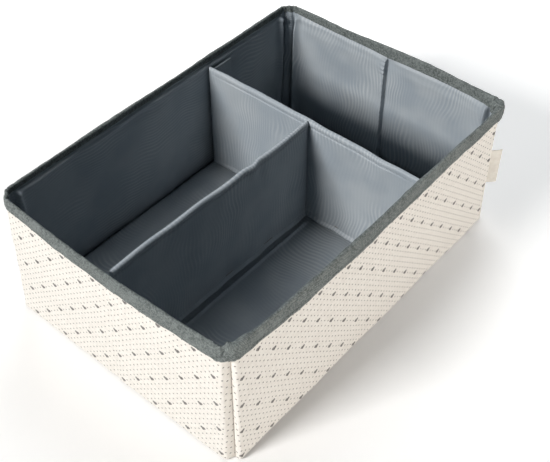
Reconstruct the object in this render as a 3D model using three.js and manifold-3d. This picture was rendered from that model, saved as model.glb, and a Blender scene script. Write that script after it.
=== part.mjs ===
// Nursery caddy: an open cloth box with board-stiffened walls, a bound rim, a drop-in floor panel
// and a T-shaped divider insert held by hook-and-loop end tabs. Both short walls carry a centre
// crease, with their boards split there, so that the empty box folds flat.
//
// Millimetres, +Z up, +X along the long walls. The origin is the middle of the underside.
// Front is -Y, rear is +Y, left is -X and right is +X.

import * as THREE from 'three';
import { mergeVertices } from 'three/addons/utils/BufferGeometryUtils.js';
import Module from 'manifold-3d';

// Box, over the outer cloth
const LENGTH = 350;
const WIDTH = 240;
const HEIGHT = 132; // to the top of the rim binding
const CORNER_CUT = 13; // each soft corner cuts this far back along both of its walls
const CORNER_ROUND = 9; // radius where a wall turns into its soft corner
const LEAST_ROUND = 1; // smallest radius that an inner layer keeps there
const SEAM_TURN = 22.5; // degrees past a long wall's end at which its corner seam runs
const SEAM_GAP = 0.3;

// Wall layers
const OUTER_CLOTH = 0.8;
const WALL_BOARD = 2;
const LINING_CLOTH = 0.6;
const LAYER_GAP = 0.3; // between any two layers that lie on each other

// Centre crease of the short walls
const CREASE_WIDTH = 6;
const OUTER_CREASE_SHARE = 0.25; // part of the room between the cloths that each one dips into
const LINING_CREASE_SHARE = 0.45;

// Rim binding, a tape folded over the top of the wall
const BINDING_CLOTH = 0.8;
const BINDING_CROWN = 2; // height of the rolled top over the wall's edge
const BINDING_OUTSIDE = 16;
const BINDING_INSIDE = 11;

// Drop-in floor panel
const FLOOR_BOARD = 2.4;
const FLOOR_CLEARANCE = 0.6; // to the binding, past which the panel lifts out
const FLOOR_HEM = 18; // cloth turned under the board

// Divider insert
const CROSS_X = 58; // middle of the cross divider
const LONG_Y = 0; // middle of the long divider
const DIVIDER_BOARD = 2;
const DIVIDER_DROP = 8; // top of the dividers below the rim
const TAB_CLOTH = 0.8;
const TAB_WIDTH = 24;
const TAB_EASE = 4; // the tabs end this far inside the dividers' top and bottom
const TAPE = 0.8; // thickness of the hook tape, and of the loop tape
const TAPE_WIDTH = 16;
const TAPE_LENGTH = 84;
const TAPE_MARGIN = 5; // tape edge to the tab's root seam
const TAPE_CLEARANCE = 0.3; // hook tape to loop tape, and to the binding that it lifts past

// Side label, a tape folded double and sewn into the front right corner seam
const LABEL_TAPE = 0.5;
const LABEL_SLIT = 0.4; // between its two layers
const LABEL_REACH = 12;
const LABEL_HEIGHT = 38;
const LABEL_BOTTOM = 46;
const LABEL_LEAN = 22.5; // degrees that it leans back from the seam, to stand out from the corner

const ROUND_STEPS = 3; // facets in a 45 degree round
const ARCH_STEPS = 6; // facets over the top of the binding and of the dividers

// Worked-out sizes
const CREASE_ROOM = WALL_BOARD + 2 * LAYER_GAP;
const BOARD_INSET = OUTER_CLOTH + LAYER_GAP;
const LINING_INSET = BOARD_INSET + WALL_BOARD + LAYER_GAP;
const WALL = LINING_INSET + LINING_CLOTH;
const BINDING_INSET = WALL + LAYER_GAP + BINDING_CLOTH;
const WALL_TOP = HEIGHT - BINDING_CROWN;
const WALL_FOOT = OUTER_CLOTH + LAYER_GAP;
const LINING_BASE_Z = WALL_FOOT;
const FLOOR_Z = LINING_BASE_Z + LINING_CLOTH + LAYER_GAP;
const BOARD_FOOT = FLOOR_Z;
const FLOOR_THICK = FLOOR_BOARD + 2 * (LINING_CLOTH + LAYER_GAP);
const FLOOR_INSET = BINDING_INSET + FLOOR_CLEARANCE;
const DIVIDER_THICK = DIVIDER_BOARD + 2 * (LAYER_GAP + LINING_CLOTH);
const DIVIDER_FOOT = FLOOR_Z + FLOOR_THICK + LAYER_GAP;
const DIVIDER_HEIGHT = HEIGHT - DIVIDER_DROP - DIVIDER_FOOT;
const TAPE_INSET = WALL + LAYER_GAP + Math.max(TAPE, BINDING_CLOTH) + TAPE_CLEARANCE;
const TAB_INSET = TAPE_INSET + TAPE + LAYER_GAP + TAB_CLOTH;
const TAB_HEIGHT = DIVIDER_HEIGHT - 2 * TAB_EASE;
const T_SEAM_X = CROSS_X - DIVIDER_THICK - LAYER_GAP; // axis of the T seam

const wasm = await Module();
wasm.setup();

// Colours
const cloth = (color, roughness) => new THREE.MeshStandardMaterial({ color, roughness, metalness: 0 });
const CREAM_CANVAS = cloth(0xeee5d6, 0.9);
const GREY_LINING = cloth(0x75808d, 0.6);
const GREEN_GREY_TAPE = cloth(0x66736f, 0.85);
const GREY_BOARD = cloth(0x9b948a, 0.95);
const DARK_TAPE = cloth(0x4b4d50, 0.95);
const LABEL_CREAM = cloth(0xe9e0cf, 0.9);

// Booleans
function solidOf(geometry) {
  const bare = geometry.clone();
  bare.deleteAttribute('normal');
  bare.deleteAttribute('uv');
  const merged = mergeVertices(bare);
  return new wasm.Manifold(new wasm.Mesh({
    numProp: 3,
    vertProperties: Float32Array.from(merged.attributes.position.array),
    triVerts: Uint32Array.from(merged.index.array),
  }));
}

function geometryOf(solid) {
  const mesh = solid.getMesh();
  const geometry = new THREE.BufferGeometry();
  geometry.setAttribute('position', new THREE.BufferAttribute(mesh.vertProperties, 3));
  geometry.setIndex(new THREE.BufferAttribute(mesh.triVerts, 1));
  return geometry;
}

const cut = (body, ...tools) => geometryOf(
  tools.reduce((left, tool) => left.subtract(solidOf(tool)), solidOf(body)),
);

const common = (a, b) => geometryOf(solidOf(a).intersect(solidOf(b)));

// Plan of the walls. The box is an octagon: side k faces 45k degrees, and round k joins side k to
// side k + 1. The even sides are the walls and the odd ones the soft corners.
const radians = THREE.MathUtils.degToRad;
const facing = (degrees) => new THREE.Vector2(Math.cos(radians(degrees)), Math.sin(radians(degrees)));

function reach(side) {
  if (side % 4 === 0) return LENGTH / 2;
  if (side % 4 === 2) return WIDTH / 2;
  return (LENGTH / 2 + WIDTH / 2 - CORNER_CUT) * Math.SQRT1_2;
}

function roundAt(k, inset) {
  const radius = Math.max(CORNER_ROUND - inset, LEAST_ROUND);
  const before = facing(45 * k);
  const after = facing(45 * (k + 1));
  const near = reach(k % 8) - inset - radius;
  const far = reach((k + 1) % 8) - inset - radius;
  const turn = before.cross(after);
  const centre = new THREE.Vector2(near * after.y - far * before.y, far * before.x - near * after.x);
  return { radius, centre: centre.divideScalar(turn) };
}

// Points of the wall line at a depth inside the outer face, from one facing to another. A dip bends
// the middle of a short wall inwards over the crease.
function wallLine(from, to, inset, dip = 0) {
  const points = [];
  for (let k = Math.floor(from / 45); 45 * k < to; k += 1) {
    const round = roundAt((k + 8) % 8, inset);
    const start = Math.max(from, 45 * k);
    const end = Math.min(to, 45 * (k + 1));
    const steps = Math.ceil(((end - start) / 45) * ROUND_STEPS);
    for (let i = 0; i <= steps; i += 1) {
      const out = facing(start + ((end - start) * i) / steps);
      points.push(out.multiplyScalar(round.radius).add(round.centre));
    }
    const nextSide = k + 1;
    if (dip && nextSide % 4 === 0 && 45 * nextSide < to) points.push(...creaseLine(nextSide, inset, dip));
  }
  return points;
}

function creaseLine(side, inset, dip) {
  const outward = Math.cos(radians(45 * side));
  const face = outward * (LENGTH / 2 - inset);
  const half = (outward * CREASE_WIDTH) / 2;
  return [
    new THREE.Vector2(face, -half),
    new THREE.Vector2(face - outward * dip, 0),
    new THREE.Vector2(face, half),
  ];
}

const outline = (inset) => wallLine(0, 360, inset);

function upright(points, height) {
  return new THREE.ExtrudeGeometry(new THREE.Shape(points), { depth: height, bevelEnabled: false });
}

function wallStrip(from, to, inset, thick, height, dip = 0) {
  const outside = wallLine(from, to, inset, dip);
  const inside = wallLine(from, to, inset + thick, dip);
  return upright([...outside, ...inside.reverse()], height);
}

// A closed band round the box: each profile point is an inset and a height
function band(profile) {
  const rings = profile.map(([inset, z]) => outline(inset).map((p) => [p.x, p.y, z]));
  const count = rings[0].length;
  const index = [];
  rings.forEach((ring, j) => {
    const here = j * count;
    const next = ((j + 1) % rings.length) * count;
    ring.forEach((point, i) => {
      const k = (i + 1) % count;
      index.push(here + i, here + k, next + k, here + i, next + k, next + i);
    });
  });
  const geometry = new THREE.BufferGeometry();
  geometry.setAttribute('position', new THREE.Float32BufferAttribute(rings.flat(2), 3));
  geometry.setIndex(index);
  return geometry;
}

function piece(name, geometry, material, x = 0, y = 0, z = 0) {
  const mesh = new THREE.Mesh(geometry, material);
  mesh.name = name;
  mesh.position.set(x, y, z);
  return mesh;
}

// Half of the flat stretch of a wall, between its soft corners
const roundReach = CORNER_ROUND * Math.tan(radians(22.5));
const FLAT_LENGTH = LENGTH / 2 - CORNER_CUT - roundReach;
const FLAT_WIDTH = WIDTH / 2 - CORNER_CUT - roundReach;
const WALL_SPAN = WALL_TOP - WALL_FOOT;
const BOARD_SPAN = WALL_TOP - BOARD_FOOT;

const LONG_WALLS = { front: -1, rear: 1 };
const SHORT_WALLS = { left: -1, right: 1 };

// Outer cloth: the short panels wrap the soft corners as far as the corner seams
function outerCloth() {
  const group = new THREE.Group();
  const half = THREE.MathUtils.radToDeg(SEAM_GAP / 2 / CORNER_ROUND);
  const dip = OUTER_CREASE_SHARE * CREASE_ROOM;
  const seams = { right: -90 + SEAM_TURN, rear: 90 - SEAM_TURN, left: 90 + SEAM_TURN, front: 270 - SEAM_TURN };
  const ends = { right: seams.rear, rear: seams.left, left: seams.front, front: 270 + SEAM_TURN };
  for (const wall of Object.keys(seams)) {
    const creased = wall in SHORT_WALLS ? dip : 0;
    const strip = wallStrip(seams[wall] + half, ends[wall] - half, 0, OUTER_CLOTH, WALL_SPAN, creased);
    group.add(piece(`outer_${wall}_panel`, strip, CREAM_CANVAS, 0, 0, WALL_FOOT));
  }
  group.add(piece('outer_base_cloth', upright(outline(0), OUTER_CLOTH), CREAM_CANVAS));
  return group;
}

// Boards: whole in the long walls, halved at the crease in the short walls
function wallBoards() {
  const group = new THREE.Group();
  const middle = BOARD_INSET + WALL_BOARD / 2;
  const z = BOARD_FOOT + BOARD_SPAN / 2;
  const long = 2 * (FLAT_LENGTH - LAYER_GAP);
  for (const [wall, sign] of Object.entries(LONG_WALLS)) {
    const board = new THREE.BoxGeometry(long, WALL_BOARD, BOARD_SPAN);
    group.add(piece(`${wall}_wall_board`, board, GREY_BOARD, 0, sign * (WIDTH / 2 - middle), z));
  }
  const inner = CREASE_WIDTH / 2 + LAYER_GAP;
  const outer = FLAT_WIDTH - LAYER_GAP;
  for (const [wall, side] of Object.entries(SHORT_WALLS)) {
    for (const [end, sign] of Object.entries(LONG_WALLS)) {
      const board = new THREE.BoxGeometry(WALL_BOARD, outer - inner, BOARD_SPAN);
      const y = (sign * (outer + inner)) / 2;
      group.add(piece(`${wall}_wall_board_${end}`, board, GREY_BOARD, side * (LENGTH / 2 - middle), y, z));
    }
  }
  return group;
}

// Lining: a panel on each wall, a gusset in each soft corner, and a bottom cloth
function lining() {
  const group = new THREE.Group();
  const middle = LINING_INSET + LINING_CLOTH / 2;
  const long = 2 * (FLAT_LENGTH - LAYER_GAP);
  for (const [wall, sign] of Object.entries(LONG_WALLS)) {
    const panel = new THREE.BoxGeometry(long, LINING_CLOTH, WALL_SPAN);
    const y = sign * (WIDTH / 2 - middle);
    group.add(piece(`lining_${wall}_panel`, panel, GREY_LINING, 0, y, WALL_FOOT + WALL_SPAN / 2));
  }
  const end = FLAT_WIDTH - LAYER_GAP;
  const dip = -LINING_CREASE_SHARE * CREASE_ROOM;
  for (const [wall, side] of Object.entries(SHORT_WALLS)) {
    const facingSide = side > 0 ? 8 : 4;
    const line = (inset) => {
      const crease = creaseLine(facingSide, inset, dip);
      const x = side * (LENGTH / 2 - inset);
      return [new THREE.Vector2(x, -side * end), ...crease, new THREE.Vector2(x, side * end)];
    };
    const plan = [...line(LINING_INSET), ...line(WALL).reverse()];
    group.add(piece(`lining_${wall}_panel`, upright(plan, WALL_SPAN), GREY_LINING, 0, 0, WALL_FOOT));
  }
  const corners = ['rear_right', 'rear_left', 'front_left', 'front_right'];
  corners.forEach((corner, quarter) => {
    const strip = wallStrip(90 * quarter, 90 * quarter + 90, LINING_INSET, LINING_CLOTH, WALL_SPAN);
    group.add(piece(`lining_${corner}_gusset`, strip, GREY_LINING, 0, 0, WALL_FOOT));
  });
  const base = upright(outline(WALL + LAYER_GAP), LINING_CLOTH);
  group.add(piece('lining_base_cloth', base, GREY_LINING, 0, 0, LINING_BASE_Z));
  return group;
}

// Rim binding: two legs down the wall under one rolled top
function rimBinding() {
  const outer = -(LAYER_GAP + BINDING_CLOTH);
  const middle = (outer + BINDING_INSET) / 2;
  const half = (BINDING_INSET - outer) / 2;
  const arch = [];
  for (let i = 0; i <= ARCH_STEPS; i += 1) {
    const turn = (Math.PI * i) / ARCH_STEPS;
    arch.push([middle - half * Math.cos(turn), WALL_TOP + BINDING_CROWN * Math.sin(turn)]);
  }
  const profile = [
    [-LAYER_GAP, HEIGHT - BINDING_OUTSIDE],
    [outer, HEIGHT - BINDING_OUTSIDE],
    ...arch,
    [BINDING_INSET, HEIGHT - BINDING_INSIDE],
    [WALL + LAYER_GAP, HEIGHT - BINDING_INSIDE],
    [WALL + LAYER_GAP, WALL_TOP + LAYER_GAP],
    [-LAYER_GAP, WALL_TOP + LAYER_GAP],
  ];
  return piece('rim_binding', band(profile), GREEN_GREY_TAPE);
}

// Floor panel: a board in a cloth cover whose hem is turned under all round
function floorPanel() {
  const group = new THREE.Group();
  group.position.z = FLOOR_Z;
  const inside = FLOOR_INSET + LINING_CLOTH;
  const hollow = upright(outline(inside), FLOOR_THICK - 2 * LINING_CLOTH).translate(0, 0, LINING_CLOTH);
  const hem = FLOOR_INSET + FLOOR_HEM;
  const window = new THREE.BoxGeometry(LENGTH - 2 * hem, WIDTH - 2 * hem, FLOOR_THICK);
  const cover = cut(upright(outline(FLOOR_INSET), FLOOR_THICK), hollow, window);
  group.add(piece('floor_cover', cover, GREY_LINING));
  const board = upright(outline(inside + LAYER_GAP), FLOOR_BOARD);
  group.add(piece('floor_board', board, GREY_BOARD, 0, 0, LINING_CLOTH + LAYER_GAP));
  return group;
}

// Section across a divider sleeve: straight sides under a round top
function sleeveSection() {
  const radius = DIVIDER_THICK / 2;
  const points = [new THREE.Vector2(-radius, 0), new THREE.Vector2(radius, 0)];
  for (let i = 0; i <= ARCH_STEPS; i += 1) {
    const turn = (Math.PI * i) / ARCH_STEPS;
    points.push(new THREE.Vector2(radius * Math.cos(turn), DIVIDER_HEIGHT - radius + radius * Math.sin(turn)));
  }
  return points;
}

const SLEEVE_WALL = LINING_CLOTH + LAYER_GAP;
const DIVIDER_BOARD_HEIGHT = DIVIDER_HEIGHT - DIVIDER_THICK / 2 - LAYER_GAP;

// Room inside a sleeve, open below, for a board from one end to another along X
function sleeveRoom(from, to) {
  const length = to - from + 2 * LAYER_GAP;
  const height = DIVIDER_HEIGHT - DIVIDER_THICK / 2;
  const room = new THREE.BoxGeometry(length, DIVIDER_BOARD + 2 * LAYER_GAP, 2 * height);
  return room.translate((from + to) / 2, 0, 0);
}

function dividerBoard(from, to) {
  const board = new THREE.BoxGeometry(to - from, DIVIDER_BOARD, DIVIDER_BOARD_HEIGHT);
  return board.translate((from + to) / 2, 0, DIVIDER_BOARD_HEIGHT / 2);
}

// The sleeve's section carried along X
function sleeveBody(from, to) {
  const body = upright(sleeveSection(), to - from);
  body.rotateX(Math.PI / 2).rotateZ(Math.PI / 2);
  return body.translate(from, 0, 0);
}

// An end tab that runs along its wall from the root seam at the group's origin, with its hook tape.
// It lies along +X, and its wall is on the +Y side.
function endTab(tabName, tapeName) {
  const group = new THREE.Group();
  const tab = new THREE.BoxGeometry(TAB_WIDTH, TAB_CLOTH, TAB_HEIGHT);
  group.add(piece(tabName, tab, GREY_LINING, TAB_WIDTH / 2, TAB_CLOTH / 2, TAB_HEIGHT / 2));
  const tape = new THREE.BoxGeometry(TAPE_WIDTH, TAPE, TAPE_LENGTH);
  const out = TAB_CLOTH + LAYER_GAP + TAPE / 2;
  group.add(piece(tapeName, tape, DARK_TAPE, TAPE_MARGIN + TAPE_WIDTH / 2, out, TAB_HEIGHT / 2));
  return group;
}

const TAB_ROOT = DIVIDER_THICK / 2 + LAYER_GAP; // root seam of a tab, off its divider's middle
const TAB_FOOT = DIVIDER_FOOT + TAB_EASE;

// Cross divider: spans the box between the long walls, with a tab at each end
function crossDivider() {
  const group = new THREE.Group();
  const end = WIDTH / 2 - TAPE_INSET;
  const boardEnd = end - SLEEVE_WALL;
  const cover = cut(sleeveBody(-end, end), sleeveRoom(-boardEnd, boardEnd));
  const panel = new THREE.Group();
  panel.position.set(CROSS_X, 0, DIVIDER_FOOT);
  panel.rotation.z = Math.PI / 2;
  panel.add(piece('cross_divider_cover', cover, GREY_LINING));
  panel.add(piece('cross_divider_board', dividerBoard(-boardEnd, boardEnd), GREY_BOARD));
  group.add(panel);

  const rear = endTab('cross_divider_rear_tab', 'rear_hook_tape');
  rear.position.set(CROSS_X + TAB_ROOT, WIDTH / 2 - TAB_INSET, TAB_FOOT);
  const front = endTab('cross_divider_front_tab', 'front_hook_tape');
  front.position.set(CROSS_X + TAB_ROOT, -(WIDTH / 2 - TAB_INSET), TAB_FOOT);
  for (const part of front.children) part.position.y *= -1;
  group.add(rear, front);
  return group;
}

// Long divider: from the T seam on the cross divider to the left wall. Its rounded nose is centred
// on the seam, so that it swings there.
function longDivider() {
  const group = new THREE.Group();
  const radius = DIVIDER_THICK / 2;
  const end = -(LENGTH / 2 - TAPE_INSET);
  const plan = new THREE.Shape();
  plan.moveTo(end, -radius);
  plan.absarc(T_SEAM_X, 0, radius, -Math.PI / 2, Math.PI / 2);
  plan.lineTo(end, radius);
  const nosed = new THREE.ExtrudeGeometry(plan, {
    depth: DIVIDER_HEIGHT,
    bevelEnabled: false,
    curveSegments: ARCH_STEPS,
  });
  const boardEnds = [end + SLEEVE_WALL, T_SEAM_X - SLEEVE_WALL];
  const whole = common(nosed, sleeveBody(end, T_SEAM_X + DIVIDER_THICK));
  const panel = new THREE.Group();
  panel.position.set(0, LONG_Y, DIVIDER_FOOT);
  panel.add(piece('long_divider_cover', cut(whole, sleeveRoom(...boardEnds)), GREY_LINING));
  panel.add(piece('long_divider_board', dividerBoard(...boardEnds), GREY_BOARD));
  group.add(panel);

  const tab = endTab('long_divider_tab', 'left_hook_tape');
  tab.position.set(-(LENGTH / 2 - TAB_INSET), LONG_Y + TAB_ROOT, TAB_FOOT);
  tab.rotation.z = Math.PI / 2;
  group.add(tab);
  return group;
}

// Loop tapes, sewn to the lining behind each hook tape
function loopTapes() {
  const group = new THREE.Group();
  const inset = WALL + LAYER_GAP + TAPE / 2;
  const z = TAB_FOOT + TAB_HEIGHT / 2;
  const along = TAB_ROOT + TAPE_MARGIN + TAPE_WIDTH / 2;
  const tape = new THREE.BoxGeometry(TAPE_WIDTH, TAPE, TAPE_LENGTH);
  for (const [wall, sign] of Object.entries(LONG_WALLS)) {
    const y = sign * (WIDTH / 2 - inset);
    group.add(piece(`${wall}_loop_tape`, tape, DARK_TAPE, CROSS_X + along, y, z));
  }
  const left = piece('left_loop_tape', tape, DARK_TAPE, -(LENGTH / 2 - inset), LONG_Y + along, z);
  left.rotation.z = Math.PI / 2;
  group.add(left);
  return group;
}

// Side label: two layers joined by a round fold, standing out from the corner seam
function sideLabel() {
  const group = new THREE.Group();
  const outer = LABEL_SLIT / 2 + LABEL_TAPE;
  const inner = LABEL_SLIT / 2;
  const fold = LABEL_REACH - outer;
  const plan = new THREE.Shape();
  plan.moveTo(0, -outer);
  plan.absarc(fold, 0, outer, -Math.PI / 2, Math.PI / 2);
  plan.lineTo(0, outer);
  plan.lineTo(0, inner);
  plan.absarc(fold, 0, inner, Math.PI / 2, -Math.PI / 2, true);
  plan.lineTo(0, -inner);
  const loop = new THREE.ExtrudeGeometry(plan, {
    depth: LABEL_HEIGHT,
    bevelEnabled: false,
    curveSegments: ARCH_STEPS,
  });
  const seam = roundAt(6, 0);
  const turn = 270 + SEAM_TURN;
  const off = LAYER_GAP + outer * Math.sin(radians(LABEL_LEAN));
  const foot = facing(turn).multiplyScalar(seam.radius + off).add(seam.centre);
  group.position.set(foot.x, foot.y, LABEL_BOTTOM);
  group.rotation.z = radians(turn + LABEL_LEAN);
  group.add(piece('side_label', loop, LABEL_CREAM));
  return group;
}

const caddy = new THREE.Group();
caddy.add(outerCloth(), wallBoards(), lining(), rimBinding(), loopTapes(), sideLabel());
caddy.add(floorPanel(), crossDivider(), longDivider());

export default caddy;
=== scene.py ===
# %% [markdown]
# # Dressing a nursery caddy
# The object is an open fabric box: printed canvas outside, satin lining inside, boards between them,
# a woven tape bound over the rim, a drop-in floor panel and a T of two sleeved dividers.
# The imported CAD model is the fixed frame. Every cloth piece below is a surface worked out with numpy,
# in millimetres, in the same axes: +X along the long side, +Y to the rear, +Z up.

import bmesh
import bpy
import numpy as np
from mathutils import Matrix, Vector


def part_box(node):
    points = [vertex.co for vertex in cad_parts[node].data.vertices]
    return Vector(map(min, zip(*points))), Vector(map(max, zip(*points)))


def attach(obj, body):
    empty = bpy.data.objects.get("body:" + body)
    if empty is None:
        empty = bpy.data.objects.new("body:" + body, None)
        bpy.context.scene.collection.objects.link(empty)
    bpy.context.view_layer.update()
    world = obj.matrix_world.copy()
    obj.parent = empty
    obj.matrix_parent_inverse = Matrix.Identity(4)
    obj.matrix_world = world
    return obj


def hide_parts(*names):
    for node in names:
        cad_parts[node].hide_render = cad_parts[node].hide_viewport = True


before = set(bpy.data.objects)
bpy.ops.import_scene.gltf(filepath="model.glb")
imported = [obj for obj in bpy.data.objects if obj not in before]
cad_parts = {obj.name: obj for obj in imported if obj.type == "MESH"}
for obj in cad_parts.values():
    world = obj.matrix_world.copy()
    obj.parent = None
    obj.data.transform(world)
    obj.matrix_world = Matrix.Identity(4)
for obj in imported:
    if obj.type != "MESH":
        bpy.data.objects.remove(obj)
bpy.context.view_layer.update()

MM = 0.001


# %% [markdown]
# ## Sizes
# A tailor would measure the box once and cut every cloth from those few numbers. Here they are read
# from the frame's nodes, so the dressed part follows the solids if they change.

# %% Read the driving sizes from the frame
def node_box(node):
    """Lowest and highest corner of a CAD node, in millimetres."""
    low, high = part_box(node)
    return np.array(low) / MM, np.array(high) / MM


half_length = node_box("outer_right_panel")[1][0]
half_width = node_box("outer_rear_panel")[1][1]
rim_z = node_box("rim_binding")[1][2]
wall_top = node_box("lining_rear_panel")[1][2]
lining_inset = half_width - node_box("lining_rear_panel")[0][1]
print(f"shell {2 * half_length:.0f} x {2 * half_width:.0f} x {rim_z:.0f} mm, wall {lining_inset:.1f} mm")

# %% [markdown]
# ## Camera
# The photograph looks down into the box from the front left, with a longish lens. A target point and a
# distance are easier to read than three turns, so the camera is aimed with a tracking quaternion.

# %% Camera
CAMERA_SPOT = Vector((-441.8, -385.5, 642.0)) * MM
CAMERA_AIM = Vector((-13.7, -24.1, 60.0)) * MM
CAMERA_ROLL = np.radians(0.3)
CAMERA_LENS = 62.5

camera_data = bpy.data.cameras.new("camera")
camera_data.lens = CAMERA_LENS
camera_data.sensor_width = 36.0
camera_data.sensor_fit = "HORIZONTAL"
camera = bpy.data.objects.new("camera", camera_data)
turn = (CAMERA_AIM - CAMERA_SPOT).to_track_quat("-Z", "Y").to_matrix()
turn = turn @ Matrix.Rotation(CAMERA_ROLL, 3, "Z")
camera.matrix_world = Matrix.Translation(CAMERA_SPOT) @ turn.to_4x4()
bpy.context.scene.collection.objects.link(camera)
bpy.context.scene.camera = camera
bpy.context.scene.view_settings.view_transform = "Standard"
print("camera at", tuple(round(value, 3) for value in CAMERA_SPOT))


# %% [markdown]
# ## Wiring helpers
# Node trees are easier to follow when they read like arithmetic. `place` makes a node, sets it and feeds
# its inputs, by name or by number. `Signal` wraps an output, so that +, - and * on it make the nodes they
# need. `calc` is any other step of arithmetic, and `tint` mixes two colours.

# %% Node helpers
class Signal:
    """An output of a node, with arithmetic that makes further nodes."""

    def __init__(self, socket):
        self.socket = socket

    def __add__(self, other):
        return calc("ADD", self, other)

    def __sub__(self, other):
        return calc("SUBTRACT", self, other)

    def __rsub__(self, other):
        return calc("SUBTRACT", other, self)

    def __mul__(self, other):
        return calc("MULTIPLY", self, other)


def place(tree, kind, inputs=None, **settings):
    """A new node with its settings made, and its inputs linked to signals or set to plain values."""
    node = tree.nodes.new(kind)
    for name, value in settings.items():
        setattr(node, name, value)
    for name, value in (inputs or {}).items():
        if isinstance(value, Signal):
            tree.links.new(value.socket, node.inputs[name])
        else:
            node.inputs[name].default_value = value
    return node


def signal(tree, kind, inputs=None, output=0, **settings):
    """The named or numbered output of a new node."""
    return Signal(place(tree, kind, inputs, **settings).outputs[output])


def tree_of(*values):
    """The node tree of the first signal among the values."""
    return next(value.socket.id_data for value in values if isinstance(value, Signal))


def calc(operation, *values):
    """One arithmetic step on signals and numbers."""
    return signal(tree_of(*values), "ShaderNodeMath", dict(enumerate(values)), operation=operation)


def tint(factor, first, second):
    """The first colour where factor is 0, the second where it is 1."""
    inputs = {0: factor, 6: first, 7: second}
    return signal(tree_of(factor, first, second), "ShaderNodeMix", inputs, 2, data_type="RGBA")


def edge(value, start, end):
    """0 while value is below start, 1 above end, smooth between; start may be the larger one."""
    inputs = {"Value": value, "From Min": start, "From Max": end}
    return signal(tree_of(value), "ShaderNodeMapRange", inputs, interpolation_type="SMOOTHSTEP")


def new_material(name):
    """An empty material and its node tree."""
    material = bpy.data.materials.new(name)
    material.use_nodes = True
    material.node_tree.nodes.clear()
    return material, material.node_tree


print("node helpers ready")

# %% [markdown]
# ## Studio
# One softbox stands low to the left, a little to the rear, and a broad weaker one hangs high to the right.
# A long low white card stands on the floor in front and fills the shaded side, and the pale room does the
# rest. Card and room light come in low, so the outside of the box is well filled while its inside stays
# deep. The floor is white: what the camera sees of it gets painted light, a glow of its own that is stronger
# to the right and lightens the box's shadow there, so it reads as paper, and the shadow still falls on it.

# %% Softboxes and fill card
KEY_FROM = Vector((-0.80, 0.21, 0.55))
KEY_DISTANCE = 4.0
KEY_SIZE = (1.2, 1.0)
KEY_POWER = 186.0
KEY_TINT = (1.0, 0.995, 0.985)
TOP_FROM = Vector((0.55, 0.31, 0.77))
TOP_DISTANCE = 2.4
TOP_SIZE = (1.4, 1.2)
TOP_POWER = 28.0
TOP_TINT = (0.93, 0.97, 1.0)
FILL_SPOT = Vector((0.05, -1.2, 0.066))
FILL_SIZE = (2.4, 0.13)
FILL_POWER = 16.2
FILL_TINT = (1.0, 0.96, 0.915)
box_middle = Vector((0, 0, rim_z / 2)) * MM


def softbox(name, spot, size, power, colour):
    """A rectangular lamp at spot, turned towards the middle of the box."""
    lamp = bpy.data.lights.new(name, "AREA")
    lamp.shape = "RECTANGLE"
    lamp.size, lamp.size_y = size
    lamp.energy = power
    lamp.color = colour
    stand = bpy.data.objects.new(name, lamp)
    stand.location = spot
    stand.rotation_euler = (box_middle - spot).to_track_quat("-Z", "Y").to_euler()
    bpy.context.scene.collection.objects.link(stand)


softbox("key_softbox", KEY_FROM.normalized() * KEY_DISTANCE, KEY_SIZE, KEY_POWER, KEY_TINT)
softbox("top_softbox", TOP_FROM.normalized() * TOP_DISTANCE, TOP_SIZE, TOP_POWER, TOP_TINT)
softbox("fill_card", FILL_SPOT, FILL_SIZE, FILL_POWER, FILL_TINT)
print("key light", round(np.degrees(KEY_SIZE[0] / KEY_DISTANCE), 1), "degrees wide")


# %% Room light
HORIZON_LIGHT = 0.20
ZENITH_LIGHT = 0.02
HORIZON_TOP = 0.5
ZENITH_COLOUR = (0.5, 0.78, 1.0, 1.0)
HORIZON_COLOUR = (0.93, 0.965, 1.0, 1.0)
WHITE = (1.0, 1.0, 1.0, 1.0)


def coordinate(tree, space, axis):
    """One axis of a space in which textures are placed."""
    spot = signal(tree, "ShaderNodeTexCoord", output=space)
    return signal(tree, "ShaderNodeSeparateXYZ", {"Vector": spot}, axis)


def seen_by(tree, *kinds):
    """1 for rays of the given kinds, 0 for all others."""
    rays = place(tree, "ShaderNodeLightPath")
    seen = [Signal(rays.outputs[f"Is {kind} Ray"]) for kind in kinds]
    either = seen[0]
    for other in seen[1:]:
        either = calc("MAXIMUM", either, other)
    return either


world = bpy.data.worlds.new("pale_room")
bpy.context.scene.world = world
world.use_nodes = True
room = world.node_tree
room.nodes.clear()
fall = edge(calc("ABSOLUTE", coordinate(room, "Generated", "Z")), 0.0, HORIZON_TOP)
seen = seen_by(room, "Camera", "Transmission")
level = (fall * (ZENITH_LIGHT - HORIZON_LIGHT) + HORIZON_LIGHT) * (1.0 - seen) + seen
colour = tint(seen, tint(fall, HORIZON_COLOUR, ZENITH_COLOUR), WHITE)
back = signal(room, "ShaderNodeBackground", {"Color": colour, "Strength": level})
place(room, "ShaderNodeOutputWorld", {"Surface": back})
print("room light", ZENITH_LIGHT, "overhead to", HORIZON_LIGHT, "at the horizon")

# %% Floor
FLOOR_REACH = 6.0
FLOOR_BELOW = 0.0002
FLOOR_GLOW = 0.085
GLOW_RIGHT = 0.3
GLOW_ACROSS = (-0.15, 0.34)
FLOOR_SHADE = (0.87, 0.86, 0.848, 1.0)
FLOOR_BOUNCE = (0.4, 0.4, 0.4, 1.0)

floor_mesh = bpy.data.meshes.new("studio_floor")
square = np.array([[-1, -1], [1, -1], [1, 1], [-1, 1]]) * FLOOR_REACH
floor_mesh.from_pydata(np.c_[square, np.full(4, -FLOOR_BELOW)].tolist(), [], [(0, 1, 2, 3)])
studio_floor = bpy.data.objects.new("studio_floor", floor_mesh)
bpy.context.scene.collection.objects.link(studio_floor)

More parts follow.
